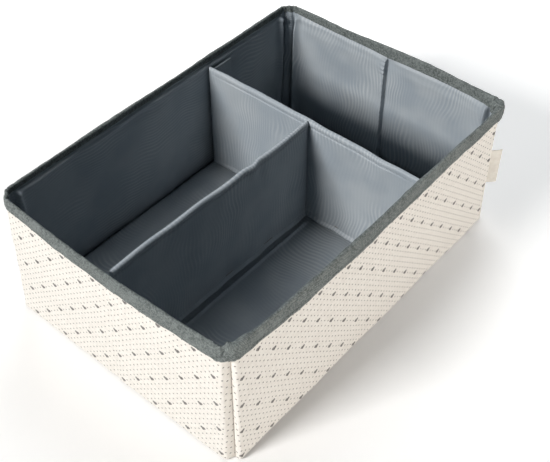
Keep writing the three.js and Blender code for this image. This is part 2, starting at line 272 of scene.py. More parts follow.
paper, tree = new_material("white_paper")
seen = seen_by(tree, "Camera", "Glossy", "Transmission")
# painted light: for camera rays the floor glows, more towards +X, which lightens the box's shadow on the
# right
strength = edge(coordinate(tree, "Object", "X"), *GLOW_ACROSS) * GLOW_RIGHT + FLOOR_GLOW
glow = signal(tree, "ShaderNodeEmission", {"Color": WHITE, "Strength": strength})
shade = signal(tree, "ShaderNodeBsdfDiffuse", {"Color": FLOOR_SHADE})
bounce = signal(tree, "ShaderNodeBsdfDiffuse", {"Color": FLOOR_BOUNCE})
shown = signal(tree, "ShaderNodeAddShader", {0: glow, 1: shade})
choice = signal(tree, "ShaderNodeMixShader", {0: seen, 1: bounce, 2: shown})
place(tree, "ShaderNodeOutputMaterial", {"Surface": choice})
floor_mesh.materials.append(paper)
print("floor", 2 * FLOOR_REACH, "m square")


# %% [markdown]
# ## Bells and ramps
# Most of what cloth does fades out: a sag, a pinch, a dent. A bell that is highest in one place and a ramp
# that rises between two places are enough to say where each of them acts and how far it reaches.

# %% Bells and ramps
def bump(value, centre, width):
    """A bell of height 1 at centre, down to about a third at one width from it."""
    return np.exp(-((value - centre) / width) ** 2)


def ramp(value, start, end):
    """0 up to start, 1 from end on, straight between; start may be the larger one."""
    return np.clip((value - start) / (end - start), 0, 1)


print("a bell is down to", round(float(bump(1.0, 0.0, 1.0)), 2), "at one width")


# %% [markdown]
# ## The outline
# Seen from above the shell is a rectangle with its corners cut and the cuts rounded off, because the
# boards stop short of the corners and the cloth takes a soft turn there. Walking round it at a steady
# pace, the facing of the wall stays still on each straight and turns evenly on each round, so the whole
# outline follows from a list of lengths. Adding up small steps along it gives the places.

# %% The outline as a walk
CORNER_CUT = 8.5
CORNER_ROUND = 5.5
WALK_STEPS = 60000

round_loss = CORNER_ROUND * np.tan(np.pi / 8)
half_flat_x = half_length - CORNER_CUT - round_loss
half_flat_y = half_width - CORNER_CUT - round_loss
cut_flat = CORNER_CUT * np.sqrt(2) - 2 * round_loss
round_walk = CORNER_ROUND * np.pi / 4

corner_walk = [round_walk, cut_flat, round_walk]
stretches = np.array(([2 * half_flat_y] + corner_walk + [2 * half_flat_x] + corner_walk) * 2)
turns = np.tile([0, 45, 0, 45], 4)
walk_marks = np.concatenate([[0], np.cumsum(stretches)]) - half_flat_y
facing_marks = np.concatenate([[0], np.cumsum(turns)])
perimeter = stretches.sum()

steps = np.linspace(walk_marks[0], walk_marks[-1], WALK_STEPS)
middle = np.radians(np.interp((steps[1:] + steps[:-1]) / 2, walk_marks, facing_marks))
pace = steps[1] - steps[0]
walk_x = half_length + np.concatenate([[0], np.cumsum(-np.sin(middle))]) * pace
walk_y = -half_flat_y + np.concatenate([[0], np.cumsum(np.cos(middle))]) * pace
gap = np.hypot(walk_x[-1] - walk_x[0], walk_y[-1] - walk_y[0])
print(f"outline {perimeter:.1f} mm round, closes within {gap:.4f} mm")


# %% Places on the outline
def wrapped(walk, start):
    """The same place on the outline, as a walk of less than one round from start."""
    return (walk - start) % perimeter + start


def closest(walk, centre):
    """Signed walked distance from centre, the short way round."""
    return wrapped(walk - centre, -perimeter / 2)


def plan(walk, inset):
    """Place in plan: the outline's point, moved inwards along the wall's facing by inset."""
    walk = wrapped(walk, walk_marks[0])
    facing = np.radians(np.interp(walk, walk_marks, facing_marks))
    x = np.interp(walk, steps, walk_x) - inset * np.cos(facing)
    y = np.interp(walk, steps, walk_y) - inset * np.sin(facing)
    return x, y


def walk_to(degrees):
    """Walked length at which the wall has turned to a facing that lies on a round."""
    return np.interp(degrees, facing_marks, walk_marks)


corner_middles = (walk_marks[2:-1:4] + walk_marks[3::4]) / 2
wall_middles = (walk_marks[0:-1:4] + walk_marks[1::4]) / 2
print("corners at", corner_middles.round(1), "walls at", wall_middles.round(1))

# %% [markdown]
# ## How the shell stands
# The photographed shell isn't a perfect prism. Its walls lean in a little towards the rim, most at the
# rear. The rim sags along the left and the front wall, rises on the right one and at the front left corner,
# and stands out a little at the front right one. One smooth function moves every point of the sewn shell
# alike, so its layers stay in their order. The floor panel and the dividers aren't sewn to it and stay true.

# %% The lean of the shell
BASE_SPREAD = 4.0
REAR_SPREAD = 7.0
CORNER_OUT = 0.8
CORNER_REACH = (60.0, 110.0)
POINT_OUT = 4.0
POINT_REACH = (8.0, 8.0)
HUMP_UP = 5.0
HUMP_REACH = (38.0, 38.0)
RIGHT_RISE = 4.5
RIGHT_BELL = (-40.0, 65.0)
LEFT_SAG = 4.0
LEFT_OUT = 1.0
LEFT_BELL = (15.0, 85.0)
FRONT_SAG = 2.0
FRONT_BELL = (-50.0, 80.0)
EDGE_POWER = 8


def settle(points):
    """Spread the points towards the base, sag two rims, bow the right one up and pull up a corner."""
    x, y, z = np.moveaxis(points, -1, 0)
    low = 1 - z / rim_z
    high = np.clip(z / rim_z, 0, 1) ** 2

    def corner(at_x, reach):
        """Near the rim of a front corner."""
        return high * bump(x, at_x, reach[0]) * bump(y, -half_width, reach[1])

    def side(towards, along, bell):
        """Near the rim of one wall, within a bell along it."""
        return high * np.clip(towards, 0, 1) ** EDGE_POWER * bump(along, *bell)

    wide = BASE_SPREAD * low * x / half_length
    deep = np.where(y > 0, REAR_SPREAD, BASE_SPREAD) * low * y / half_width
    out = CORNER_OUT * corner(half_length, CORNER_REACH) + POINT_OUT * corner(half_length, POINT_REACH)
    left_dip = side(-x / half_length, y, LEFT_BELL)
    front_dip = side(-y / half_width, x, FRONT_BELL)
    rise = RIGHT_RISE * side(x / half_length, y, RIGHT_BELL) + HUMP_UP * corner(-half_length, HUMP_REACH)
    lift = rise - LEFT_SAG * left_dip - FRONT_SAG * front_dip
    return np.stack([x + wide + out - LEFT_OUT * left_dip, y + deep - out, z + lift], -1)


def wall(walk, inset, z):
    """Points of the settled shell at walked length, inset and height."""
    walk, inset, z = np.broadcast_arrays(walk, inset, z)
    x, y = plan(walk, inset)
    return settle(np.stack([x, y, z], -1))


print("front right rim corner at", wall(corner_middles[3], 0.0, rim_z).round(1))


# %% [markdown]
# ## Cloth helpers
# Cloth is never quite flat. A sum of a few sines with random but seeded directions, lengths and phases
# gives a gentle unevenness that is the same on every run.

# %% Unevenness
SINES = 7


def ripple(a, b, wavelength, seed):
    """Sum of sines over the two coordinates, each of about the given wavelength, about 1 high."""
    draw = np.random.default_rng(seed)
    angle = draw.uniform(0, np.pi, SINES)
    rate = 2 * np.pi / (wavelength * draw.uniform(0.7, 1.6, SINES))
    phase = draw.uniform(0, 2 * np.pi, SINES)
    a, b = np.broadcast_arrays(a, b)
    along = a[..., None] * np.cos(angle) + b[..., None] * np.sin(angle)
    return np.sin(along * rate + phase).sum(-1) / np.sqrt(SINES)


def uneven(a, b, seed, waves):
    """Ripples added up: each of the waves is a height and a wavelength, and takes the next seed."""
    return sum(height * ripple(a, b, length, seed + more) for more, (height, length) in enumerate(waves))


print("ripple of 50 mm at the origin:", round(float(ripple(np.zeros(1), np.zeros(1), 50, 1)[0]), 3))


# %% [markdown]
# A grid of points becomes a mesh in one go: the faces are index arithmetic on whole arrays. The cloth's
# own coordinates, in millimetres along and across it, go into a UV map for the weave and the print.

# %% Grid to mesh
def grid_faces(rows, cols, start=0, flip=False):
    """Quads of a rows by cols grid of points, whose first point has the index start."""
    index = np.arange(rows * cols).reshape(rows, cols) + start
    quads = np.stack([index[:-1, :-1], index[:-1, 1:], index[1:, 1:], index[1:, :-1]], -1).reshape(-1, 4)
    return quads[:, ::-1] if flip else quads


def cloth_object(name, points, faces, uv):
    """An object from points in millimetres, quads and one UV pair a point; doubles are merged."""
    mesh = bpy.data.meshes.new(name)
    mesh.vertices.add(len(points))
    mesh.vertices.foreach_set("co", (points * MM).astype(np.float32).ravel())
    mesh.loops.add(faces.size)
    mesh.loops.foreach_set("vertex_index", faces.astype(np.int32).ravel())
    mesh.polygons.add(len(faces))
    mesh.polygons.foreach_set("loop_start", np.arange(0, faces.size, 4, dtype=np.int32))
    mesh.update(calc_edges=True)
    layer = mesh.uv_layers.new(name="cloth")
    layer.data.foreach_set("uv", uv[faces.ravel()].astype(np.float32).ravel())
    mesh.polygons.foreach_set("use_smooth", np.ones(len(faces), dtype=bool))
    piece = bpy.data.objects.new(name, mesh)
    bpy.context.scene.collection.objects.link(piece)
    return piece


def merge_doubles(piece, distance=0.02):
    """Weld points that lie together, as at a pole or at the edge that two faces share."""
    work = bmesh.new()
    work.from_mesh(piece.data)
    bmesh.ops.remove_doubles(work, verts=work.verts, dist=distance * MM)
    work.to_mesh(piece.data)
    work.free()


def cloth_grid(name, points, uv, thickness, flip=False):
    """A sheet on one grid of points, given its thickness behind the face that shows."""
    rows, cols = points.shape[:2]
    faces = grid_faces(rows, cols, flip=flip)
    piece = cloth_object(name, points.reshape(-1, 3), faces, uv.reshape(-1, 2))
    solid = piece.modifiers.new("cloth_thickness", "SOLIDIFY")
    solid.thickness = thickness * MM
    solid.offset = -1.0
    return piece


def dress(piece, body, slot, material, *nodes):
    """Say what carries the piece, what finish it takes and which solids it stands for."""
    piece.data.materials.append(material)
    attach(piece, body)
    if nodes:
        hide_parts(*nodes)
    return piece


print("mesh helpers ready")


# %% [markdown]
# A sleeve over a board, a tab or a piece of tape is a flat pillow: two grids whose half thickness is
# full over the middle and rounds down to nothing at the edges, where the two grids meet and are welded.

# %% Pillow
def spaced(low, high, step, rounding):
    """Even steps over the middle, and closer ones on the rounded ends."""
    quarter = 1 - np.cos(np.linspace(0, np.pi / 2, 6)[:-1])
    count = max(int((high - low - 2 * rounding) / step), 2)
    inner = np.linspace(low + rounding, high - rounding, count + 1)
    return np.concatenate([low + quarter * rounding, inner, (high - quarter * rounding)[::-1]])


def rounded(value, low, high, rounding):
    """1 over the middle, falling to 0 at both ends as a quarter circle does."""
    depth = np.clip(np.minimum(value - low, high - value) / rounding, 0, 1)
    return np.sqrt(1 - (1 - depth) ** 2)


def pillow(name, length, height, half, step, lay, rounding=None, thick=None, bend=None, more=()):
    """Two grids over length and height, apart by twice the half thickness, laid in place by lay.

    length and height are (low, high). thick and bend are functions of the two grids: a factor on the
    half thickness, and how far the middle surface stands off. lay turns (along, up, off) into points.
    more holds further heights at which the grids get a row, where something fine lies.
    """
    rounding = rounding or half
    along = spaced(*length, step, rounding)
    up = np.union1d(spaced(*height, step, rounding), more)
    along_grid, up_grid = np.meshgrid(along, up)
    depth = half * rounded(along_grid, *length, rounding) * rounded(up_grid, *height, rounding)
    if thick:
        depth = depth * thick(along_grid, up_grid)
    off = bend(along_grid, up_grid) if bend else np.zeros_like(depth)
    front = lay(along_grid, up_grid, off + depth)
    back = lay(along_grid, up_grid, off - depth)
    rows, cols = depth.shape
    points = np.concatenate([front.reshape(-1, 3), back.reshape(-1, 3)])
    faces = np.concatenate([grid_faces(rows, cols), grid_faces(rows, cols, rows * cols, flip=True)])
    flat = np.stack([along_grid, up_grid], -1).reshape(-1, 2)
    mirrored = flat * [1, -1] + [0, 2 * height[1]]
    piece = cloth_object(name, points, faces, np.concatenate([flat, mirrored]))
    merge_doubles(piece)
    return piece


print("pillow helper ready")


# %% [markdown]
# ## Finishes
# Each finish is a small node tree. Patterns that follow the cloth read its own UV map, in millimetres;
# what is mottled all over reads Object coordinates. Roughness and bump come from the same weave as the
# colour, so light and colour agree.

# %% Shared parts of the finishes
def cloth_axes(tree):
    """The piece's own coordinates in millimetres: as a vector, along the cloth and across it."""
    uv = signal(tree, "ShaderNodeUVMap", uv_map="cloth")
    axes = place(tree, "ShaderNodeSeparateXYZ", {"Vector": uv})
    return uv, Signal(axes.outputs["X"]), Signal(axes.outputs["Y"])


def speckle(tree, size, detail=2.0):
    """Noise with features of about the given size in millimetres, on Object coordinates."""
    spot = signal(tree, "ShaderNodeTexCoord", output="Object")
    inputs = {"Vector": spot, "Scale": 1 / (size * MM), "Detail": detail}
    return signal(tree, "ShaderNodeTexNoise", inputs)


def plain_weave(u, v, thread):
    """Height of a plain weave: one thread over, the next one under, from two sines."""
    rate = np.pi / thread
    return calc("SINE", u * rate) * calc("SINE", v * rate)


def finish(tree, colour, rough, height, depth, strength, shine=None):
    """Close a tree with a Principled shader, bumped by depth in millimetres for a height of 1."""
    relief = {"Height": height, "Distance": depth * MM, "Strength": strength}
    inputs = {"Base Color": colour, "Roughness": rough, "Normal": signal(tree, "ShaderNodeBump", relief)}
    shader = signal(tree, "ShaderNodeBsdfPrincipled", inputs | (shine or {}))
    place(tree, "ShaderNodeOutputMaterial", {"Surface": shader})


print("finish helpers ready")

# %% [markdown]
# ### Printed canvas
# Cream cotton canvas with a common small print: lines of pin dots on the bias, and hearts spread evenly
# among them. Each figure is a distance to the middle of a repeating cell, so the whole print is arithmetic
# on two diagonal coordinates and stays crisp at any size.

# %% Printed canvas
LINE_PITCH = 4.95
DOT_PITCH = 5.85
DOT_RADIUS = 0.72
HEART_LINES = 5
HEART_DOTS = 4
HEART_SIDE = 2.9
INK_EDGE = 0.17
CANVAS_THREAD = 0.55
SLUB_SIZE = 3.0
FADE_SIZE = 0.8
CANVAS_COLOUR = (0.74, 0.70, 0.645, 1.0)
CANVAS_WARM = (0.79, 0.755, 0.70, 1.0)
CANVAS_SHADE = (0.12, 0.105, 0.095, 1.0)
DOT_INK = (0.085, 0.075, 0.068, 1.0)
HEART_INK = (0.075, 0.07, 0.068, 1.0)


def cell(value, pitch):
    """Distance from the middle of the cell of the given pitch that value falls in."""
    return calc("FLOORED_MODULO", value, pitch) - pitch / 2


def distance(a, b):
    """Length of the arrow with the two given sides."""
    return calc("SQRT", calc("POWER", a, 2.0) + calc("POWER", b, 2.0))


def print_masks(u, v):
    """Masks of the dots and of the hearts, from coordinates along the cloth's two diagonals.

    A heart is a square standing on a corner, with a round of the same width on both upper sides.
    """
    rising = (u + v) * np.sqrt(0.5)
    falling = (u - v) * np.sqrt(0.5)
    off_dot = distance(cell(rising, LINE_PITCH), cell(falling, DOT_PITCH))
    dots = edge(off_dot, DOT_RADIUS + INK_EDGE, DOT_RADIUS - INK_EDGE)

    half = HEART_SIDE / 2
    rising = cell(rising, HEART_LINES * LINE_PITCH)
    falling = cell(falling + DOT_PITCH / 2, HEART_DOTS * DOT_PITCH)
    square = calc("MAXIMUM", calc("ABSOLUTE", rising), calc("ABSOLUTE", falling))
    rounds = calc("MINIMUM", distance(rising - half, falling), distance(rising, falling + half))
    hearts = edge(calc("MINIMUM", square, rounds), half + INK_EDGE, half - INK_EDGE)
    return dots, hearts


def printed_canvas():
    """Cream canvas: a plain weave of threads, slubs in its colour, and the print inked into it."""
    material, tree = new_material("printed_canvas")
    _, u, v = cloth_axes(tree)
    weave = plain_weave(u, v, CANVAS_THREAD)
    slub = speckle(tree, SLUB_SIZE)
    base = tint(edge(slub, 0.35, 0.65), CANVAS_COLOUR, CANVAS_WARM)
    base = tint(edge(weave, 0.2, -0.8) * 0.10, base, CANVAS_SHADE)
    dots, hearts = print_masks(u, v)
    full = 1.0 - edge(speckle(tree, FADE_SIZE), 0.25, 0.6) * 0.25
    base = tint(dots * full, base, DOT_INK)
    base = tint(hearts * full, base, HEART_INK)
    shine = {"Specular IOR Level": 0.25, "Sheen Weight": 0.08}
    finish(tree, base, slub * 0.12 + 0.84, weave + slub * 1.5, 0.06, 0.6, shine)
    return material


canvas = printed_canvas()
print("printed canvas:", len(canvas.node_tree.nodes), "nodes")

# %% [markdown]
# ### Lining
# Blue-grey polyester with a satin face. Its fine ribs beat against the light in curved ripples like the
# grain of wood, so bands of painted sheen, pale and dark, with a long, bent course are laid into its colour
# over the weave, stronger in some patches. The weave's hollows are darkened with painted shade.

# %% Lining cloth
# The deep colour is both the cloth's own deeper tone and painted shade: dark sheen bands and the weave's
# hollows. The pale colour is painted sheen.
LINING_COLOUR = (0.355, 0.385, 0.408, 1.0)
LINING_DEEP_AND_SHADE = (0.278, 0.315, 0.35, 1.0)
LINING_SHEEN = (0.475, 0.495, 0.505, 1.0)
LINING_THREAD = 0.4
RIPPLE_SCALE = 0.314 / 3.4
PATCH_SIZE = 55.0
TONE_SIZE = 35.0


def lining_cloth():
    """Satin lining: ribs with painted shade in their hollows, fine curved ripples of painted sheen, and a
    soft sheen from the shader.
    """
    material, tree = new_material("lining_cloth")
    uv, u, v = cloth_axes(tree)
    inputs = {"Vector": uv, "Scale": RIPPLE_SCALE, "Distortion": 26.0,
              "Detail": 1.0, "Detail Scale": 0.2, "Detail Roughness": 0.4}
    bands = signal(tree, "ShaderNodeTexWave", inputs, "Fac", bands_direction="X")
    patch = edge(speckle(tree, PATCH_SIZE, 1.0), 0.42, 0.66) * 0.62 + 0.08
    shimmer = (bands - 0.5) * patch
    base = tint(edge(speckle(tree, TONE_SIZE), 0.3, 0.7), LINING_DEEP_AND_SHADE, LINING_COLOUR)
    # painted sheen: the ripple bands lighten the colour where they are high and darken it where they are low
    base = tint(edge(shimmer, -0.1, 0.6), base, LINING_SHEEN)
    base = tint(edge(shimmer, 0.1, -0.7), base, LINING_DEEP_AND_SHADE)
    weave = plain_weave(u, v, LINING_THREAD)
    # painted shade: the weave's hollows are darkened in the colour
    base = tint(edge(weave, 0.3, -0.9) * 0.16, base, LINING_DEEP_AND_SHADE)
    shine = {"Specular IOR Level": 0.45, "Sheen Weight": 0.12, "Sheen Roughness": 0.35}
    finish(tree, base, shimmer * 0.12 + 0.46, shimmer * 4.0 + weave, 0.045, 0.7, shine)
    return material


lining = lining_cloth()
print("lining cloth:", len(lining.node_tree.nodes), "nodes")

# %% [markdown]
# ### Binding tape
# A grey-green herringbone tape spun from light and dark fibres. Speckles of two sizes give the heather,
# and a fine twill line runs slantwise over it, with painted shade in its grooves.

# %% Binding tape
TAPE_COLOUR = (0.13, 0.147, 0.141, 1.0)
# the dark colour is both the heather's dark fibres and the painted shade in the twill's grooves
TAPE_DARK_AND_SHADE = (0.04, 0.047, 0.046, 1.0)
TAPE_PALE = (0.26, 0.285, 0.276, 1.0)
TWILL_PITCH = 0.7
TWILL_SLANT = 0.8


def binding_tape():
    """Heathered twill tape: two speckles of fibre, and a slanting rib with painted shade in its grooves."""
    material, tree = new_material("binding_tape")
    _, u, v = cloth_axes(tree)
    twill = calc("SINE", (u + v * TWILL_SLANT) * (np.pi / TWILL_PITCH))
    base = tint(edge(speckle(tree, 1.5, 3.0), 0.36, 0.64), TAPE_DARK_AND_SHADE, TAPE_PALE)
    base = tint(0.5, base, TAPE_COLOUR)
    base = tint(edge(speckle(tree, 9.0), 0.45, 0.7) * 0.3, base, TAPE_PALE)
    # painted shade in the twill's grooves
    base = tint(edge(twill, 0.1, -0.9) * 0.35, base, TAPE_DARK_AND_SHADE)
    rough = speckle(tree, 2.0) * 0.2 + 0.74
    height = twill + speckle(tree, 1.2, 3.0) * 2.5
    finish(tree, base, rough, height, 0.09, 0.7, {"Specular IOR Level": 0.3, "Sheen Weight": 0.04})
    return material


tape_finish = binding_tape()
print("binding tape:", len(tape_finish.node_tree.nodes), "nodes")


# %% [markdown]
# ### The other finishes
# The boards are grey pressed paper, the hook and loop tapes are matt black with a fine pile, and the
# folded side label is a plain off-white satin tape with nothing on it.

# %% Board, pile tape and label
def pressed_board():
    """Grey board: fibres in two tones, matt."""
    material, tree = new_material("pressed_board")
    fibre = edge(speckle(tree, 0.9, 4.0), 0.3, 0.7)
    base = tint(fibre, (0.19, 0.175, 0.155, 1.0), (0.31, 0.29, 0.26, 1.0))
    finish(tree, base, fibre * 0.15 + 0.8, fibre, 0.08, 0.5)
    return material


def pile_tape():
    """Hook and loop tape: rows of a dense pile of dark fibres."""
    material, tree = new_material("pile_tape")
    _, u, v = cloth_axes(tree)
    pile = speckle(tree, 0.7, 3.0)
    base = tint(edge(pile, 0.35, 0.7), (0.018, 0.02, 0.022, 1.0), (0.07, 0.075, 0.08, 1.0))
    height = plain_weave(u, v, 0.9) + pile * 2.0
    finish(tree, base, pile * 0.15 + 0.8, height, 0.18, 0.8, {"Sheen Weight": 0.2})
    return material


def label_satin():
    """Off-white satin label tape: fine cross ribs and a slightly creamier tone in patches."""
    material, tree = new_material("label_satin")
    _, _, v = cloth_axes(tree)
    tone = edge(speckle(tree, 6.0), 0.3, 0.7)
    base = tint(tone, (0.70, 0.655, 0.58, 1.0), (0.78, 0.74, 0.67, 1.0))
    finish(tree, base, tone * 0.1 + 0.5, calc("SINE", v * (np.pi / 0.35)), 0.04, 0.5)
    return material


board_finish = pressed_board()
pile_finish = pile_tape()
label_finish = label_satin()
print("board, pile tape and label finishes ready")

# %% [markdown]
# ## Outer canvas
# Four panels wrap the walls. They meet in pinched seams at the soft corners, where both edges dive
# between the layers. The short ones reach round the corner, sink in a little there, and carry a pressed
# crease down the middle, along which the box folds flat. At the bottom each panel turns under to meet the
# base cloth. So a panel is one grid: walked length by the distance down the cloth, with the seam, crease
# and unevenness as offsets off the wall.

# %% Outer panels
CANVAS_THICK = 0.8
CANVAS_STEP = 3.0
CANVAS_WAVES = ((0.30, 75.0), (0.12, 22.0))
FINE_REACH = 6.0
BOTTOM_TURN = 3.0
UNDER_RUN = 1.9
FOOT_SHARE = 0.25
SEAM_DEPTH = 0.7
SEAM_REACH = 1.5
SEAM_SWELL = 0.5
FADE_DOWN = 20.0
LEAST_FADE = 0.15
SHALLOW = 1.5
DEEP = 3.2
HOLLOW_REACH = 6.5
HOLLOW_FLAT = 1.0
FRONT_REACH = 2.0
PRINT_STRETCH = 1.12
CREASE_DEPTH = 0.4
CREASE_REACH = 1.8
CREASE_SWELL = 0.6
canvas_top = wall_top - 2.0


def panel_walks(start, end, step):
    """Walked lengths across a panel, closer together near its two sewn edges and its middle."""
    even = np.arange(start, end, step)
    near = np.linspace(0, FINE_REACH, 9)
    centre = (start + end) / 2
    return np.unique(np.concatenate([even, start + near, end - near, centre + near, centre - near]))


def seam_sink(to_seam, hollow, creased):
    """Depth of the canvas beside a corner seam: a pinch, and on a creased short panel a wide hollow."""
    pinch = (SEAM_DEPTH + hollow * (not creased)) * np.exp(-to_seam / SEAM_REACH)
    return pinch + hollow * creased * ramp(to_seam, HOLLOW_REACH, HOLLOW_FLAT)


def seam_fade(down):
    """How much of the seams' depth there is at a distance down the cloth: little under the binding."""
    return np.clip(down / FADE_DOWN, LEAST_FADE, 1)


def outer_panel(name, start, end, creased, seed, print_at, hollows):
    """Canvas panel from one corner seam to the next, turned under at its foot.

    print_at says how the print lies on it: shifts along and up, and the slope of its rows. The short
    panels have it the other way round. hollows says how deep its two ends sink at the corners.
    """
    turn_walk = BOTTOM_TURN * np.pi / 2
    drop = canvas_top - BOTTOM_TURN
    down = np.concatenate([np.linspace(0, drop, int(drop / CANVAS_STEP)),
                           drop + np.linspace(0, turn_walk, 7)[1:],
                           drop + turn_walk + np.linspace(0, UNDER_RUN, 4)[1:]])
    walk, down = np.meshgrid(panel_walks(start, end, CANVAS_STEP), down[::-1])
    bent = np.clip((down - drop) / BOTTOM_TURN, 0, np.pi / 2)
    under = np.clip(down - drop - turn_walk, 0, None)
    inset = BOTTOM_TURN * (1 - np.cos(bent)) + under
    z = canvas_top - np.minimum(down, drop) - BOTTOM_TURN * np.sin(bent)

    along = walk - (start + end) / 2
    to_seam = np.minimum(walk - start, end - walk)
    out = uneven(walk, down, seed, CANVAS_WAVES) * ramp(down, 6.0, 22.0) * ramp(to_seam, 0.0, 5.0)
    hollow = np.where(along < 0, *hollows)
    beside = SEAM_SWELL * bump(to_seam, 4.0, 2.0) * (not creased)
    out = out + (beside - seam_sink(to_seam, hollow, creased)) * seam_fade(down)
    if creased:
        out = out - CREASE_DEPTH * np.exp(-np.abs(along) / CREASE_REACH)
        out = out + CREASE_SWELL * bump(np.abs(along), 9.0, 6.0) * ramp(down, 12.0, 28.0)
    upright = FOOT_SHARE + (1 - FOOT_SHARE) * np.cos(bent)
    points = wall(walk, inset - out * upright, z)

    raised = np.clip(points[..., 2] - z, 0, None)
    up = PRINT_STRETCH * (raised - down) + print_at[1] + print_at[2] * along
    uv = np.stack([(-along if creased else along) + print_at[0], up], -1)
    piece = cloth_grid(name, points, uv, CANVAS_THICK)
    (end - start) * MM
    (drop + turn_walk + UNDER_RUN) * MM
    return piece


SEAM_FACINGS = {"rear_right": 67.5, "rear_left": 112.5, "front_left": 228.0, "front_right": 292.5}
seams = {place_name: walk_to(facing) for place_name, facing in SEAM_FACINGS.items()}
seams["front_left"] -= FRONT_REACH
panels = {
    "right": (seams["front_right"] - perimeter, seams["rear_right"], True, 11,
              (0.0, 0.0, 0.02), (SHALLOW, SHALLOW)),
    "rear": (seams["rear_right"], seams["rear_left"], False, 21, (5.0, 8.0, -0.02), (SHALLOW, SHALLOW)),
    "left": (seams["rear_left"], seams["front_left"], True, 31, (-13.1, 69.8, -0.039), (SHALLOW, DEEP)),
    "front": (seams["front_left"], seams["front_right"], False, 41, (123.6, 26.2, 0.043), (DEEP, SHALLOW)),
}
for side, facts in panels.items():
    node = f"outer_{side}_panel"
    dress(outer_panel("canvas_" + node, *facts), "shell", "printed_canvas", canvas, node)
    print(node, f"{facts[1] - facts[0]:.1f} mm wide")


# %% [markdown]
# The base cloth lies under the whole box, and the lining has a base of its own above it. Each is a fan: the
# outline drawn in towards the middle, ring by ring. The base cloth dishes up very slightly, so the box
# stands on its edges.

# %% Base cloth and lining base
FAN_WAVES = ((0.12, 60.0),)


def fan_sheet(name, inset, z, dish, thickness, seed, flip):
    """A sheet over the whole plan: the outline at an inset, drawn in ring by ring to its middle."""
    walk = np.linspace(0, perimeter, 181)
    share = np.concatenate([np.linspace(0, 0.9, 19), np.linspace(0.92, 1, 5)])
    walk, share = np.meshgrid(walk, share)
    x, y = plan(walk, inset)
    x, y = x * share, y * share
    height = z + dish * (1 - share ** 2) + uneven(x, y, seed, FAN_WAVES) * (1 - share)
    points = settle(np.stack([x, y, height], -1))
    piece = cloth_grid(name, points, np.stack([x, y], -1), thickness, flip)
    merge_doubles(piece)
    edge_x, edge_y = plan(walk[-1], inset)
    area = 0.5 * abs(np.sum(edge_x[:-1] * edge_y[1:] - edge_x[1:] * edge_y[:-1])) * MM * MM
    return piece


base_cloth = fan_sheet("base_cloth", inset=4.5, z=0.05, dish=0.5, thickness=CANVAS_THICK, seed=51, flip=False)
dress(base_cloth, "shell", "printed_canvas", canvas, "outer_base_cloth")
lining_base = fan_sheet("lining_base", inset=4.3, z=1.9, dish=0.0, thickness=0.5, seed=52, flip=True)
dress(lining_base, "shell", "lining_cloth", lining, "lining_base_cloth")
print("base cloth and lining base laid")

# %% [markdown]
# ## Wall boards
# The stiffening boards hide between canvas and lining. They take the shell's lean with them, so each is
# a thin pillow laid on the settled wall, ending short of the thin, bound rim. The short walls have two,
# with the fold between them.

# %% Wall boards
BOARD_HALF = 0.75
BOARD_SHORT = 18.0
BOARD_END = 4.0
BOARD_UP = 1.0
BOARD_STEP = 12.0
board_inset = half_width - np.mean([corner[1] for corner in node_box("rear_wall_board")])
fold_half = node_box("left_wall_board_rear")[0][1]


def wall_board(name, start, end):
    """A board between two walked lengths, from just above the foot of the wall to well short of the rim."""
    low, high = node_box(name)

    def on_wall(along, up, off):
        return wall(along, board_inset - off, up)

    span = (low[2] + BOARD_UP, high[2] - BOARD_SHORT)
    return pillow("stiffener_" + name, (start, end), span, BOARD_HALF, BOARD_STEP, on_wall)


right, rear, left, front = wall_middles
board_x = half_flat_x - BOARD_END
board_y = half_flat_y - BOARD_END
boards = {
    "front_wall_board": (front - board_x, front + board_x),
    "rear_wall_board": (rear - board_x, rear + board_x),
    "left_wall_board_rear": (left - board_y, left - fold_half),
    "left_wall_board_front": (left + fold_half, left + board_y),
    "right_wall_board_front": (right - board_y, right - fold_half),
    "right_wall_board_rear": (right + fold_half, right + board_y),
}
for name, (start, end) in boards.items():
    dress(wall_board(name, start, end), "shell", "stiffener_board", board_finish, name)
print(len(boards), "wall boards")

# %% [markdown]
# ## Lining panels
# The lining hangs on the boards, a little fuller than they are. Above them the wall thins towards the
# rim. Just under the binding the lining swells into a soft roll that catches the light, at the sewn edges
# it dives between the layers, and on the short walls one half stands proud of the other along the fold,
# in a sharp step with small puckers. A loop tape that is sewn on holds it flat. All of this is a height off
# one line, and that line gives way where the canvas sinks in behind it.

# %% The lining's line
RIM_THIN = 2.6
THIN_FROM = 110.0
THIN_TO = 127.0
LEAST_INSET = 1.6
THINNEST_INSET = 1.4
THINNEST_FROM = 126.0
OPEN_BELOW = 2.5

rear_right, rear_left, front_left, front_right = corner_middles
inside_walks = np.array([right, right + 20, rear_right - 40, rear_right, rear, rear_left, left, front_left,
                         front, front_right, right - 50 + perimeter, right + perimeter])
inside_lengths = np.array([10.0, 8.6, 7.0, 6.5, 6.0, 6.0, 7.0, 7.0, 8.0, 8.5, 9.5, 10.0])


def inside_length(walk):
    """How far the binding reaches down inside the rim, at each walked length."""
    return np.interp(wrapped(walk, right), inside_walks, inside_lengths)


def lining_line(z):
    """Inset of the lining's face: the full wall below, smoothly less towards the rim."""
    share = ramp(z, THIN_FROM, THIN_TO)
    return lining_inset - RIM_THIN * share ** 2 * (3 - 2 * share)


def canvas_sink(walk):
    """How deep the canvas lies at each walked length, from the seam that is nearest on its own panel."""
    sink = np.zeros_like(walk)
    for start, end, creased, _, _, (first, last) in panels.values():
        for inward, hollow in ((closest(walk, start), first), (-closest(walk, end), last)):
            depth = seam_sink(np.abs(inward), hollow, creased)
            sink = np.maximum(sink, np.where(inward >= 0, depth, 0))
    return sink


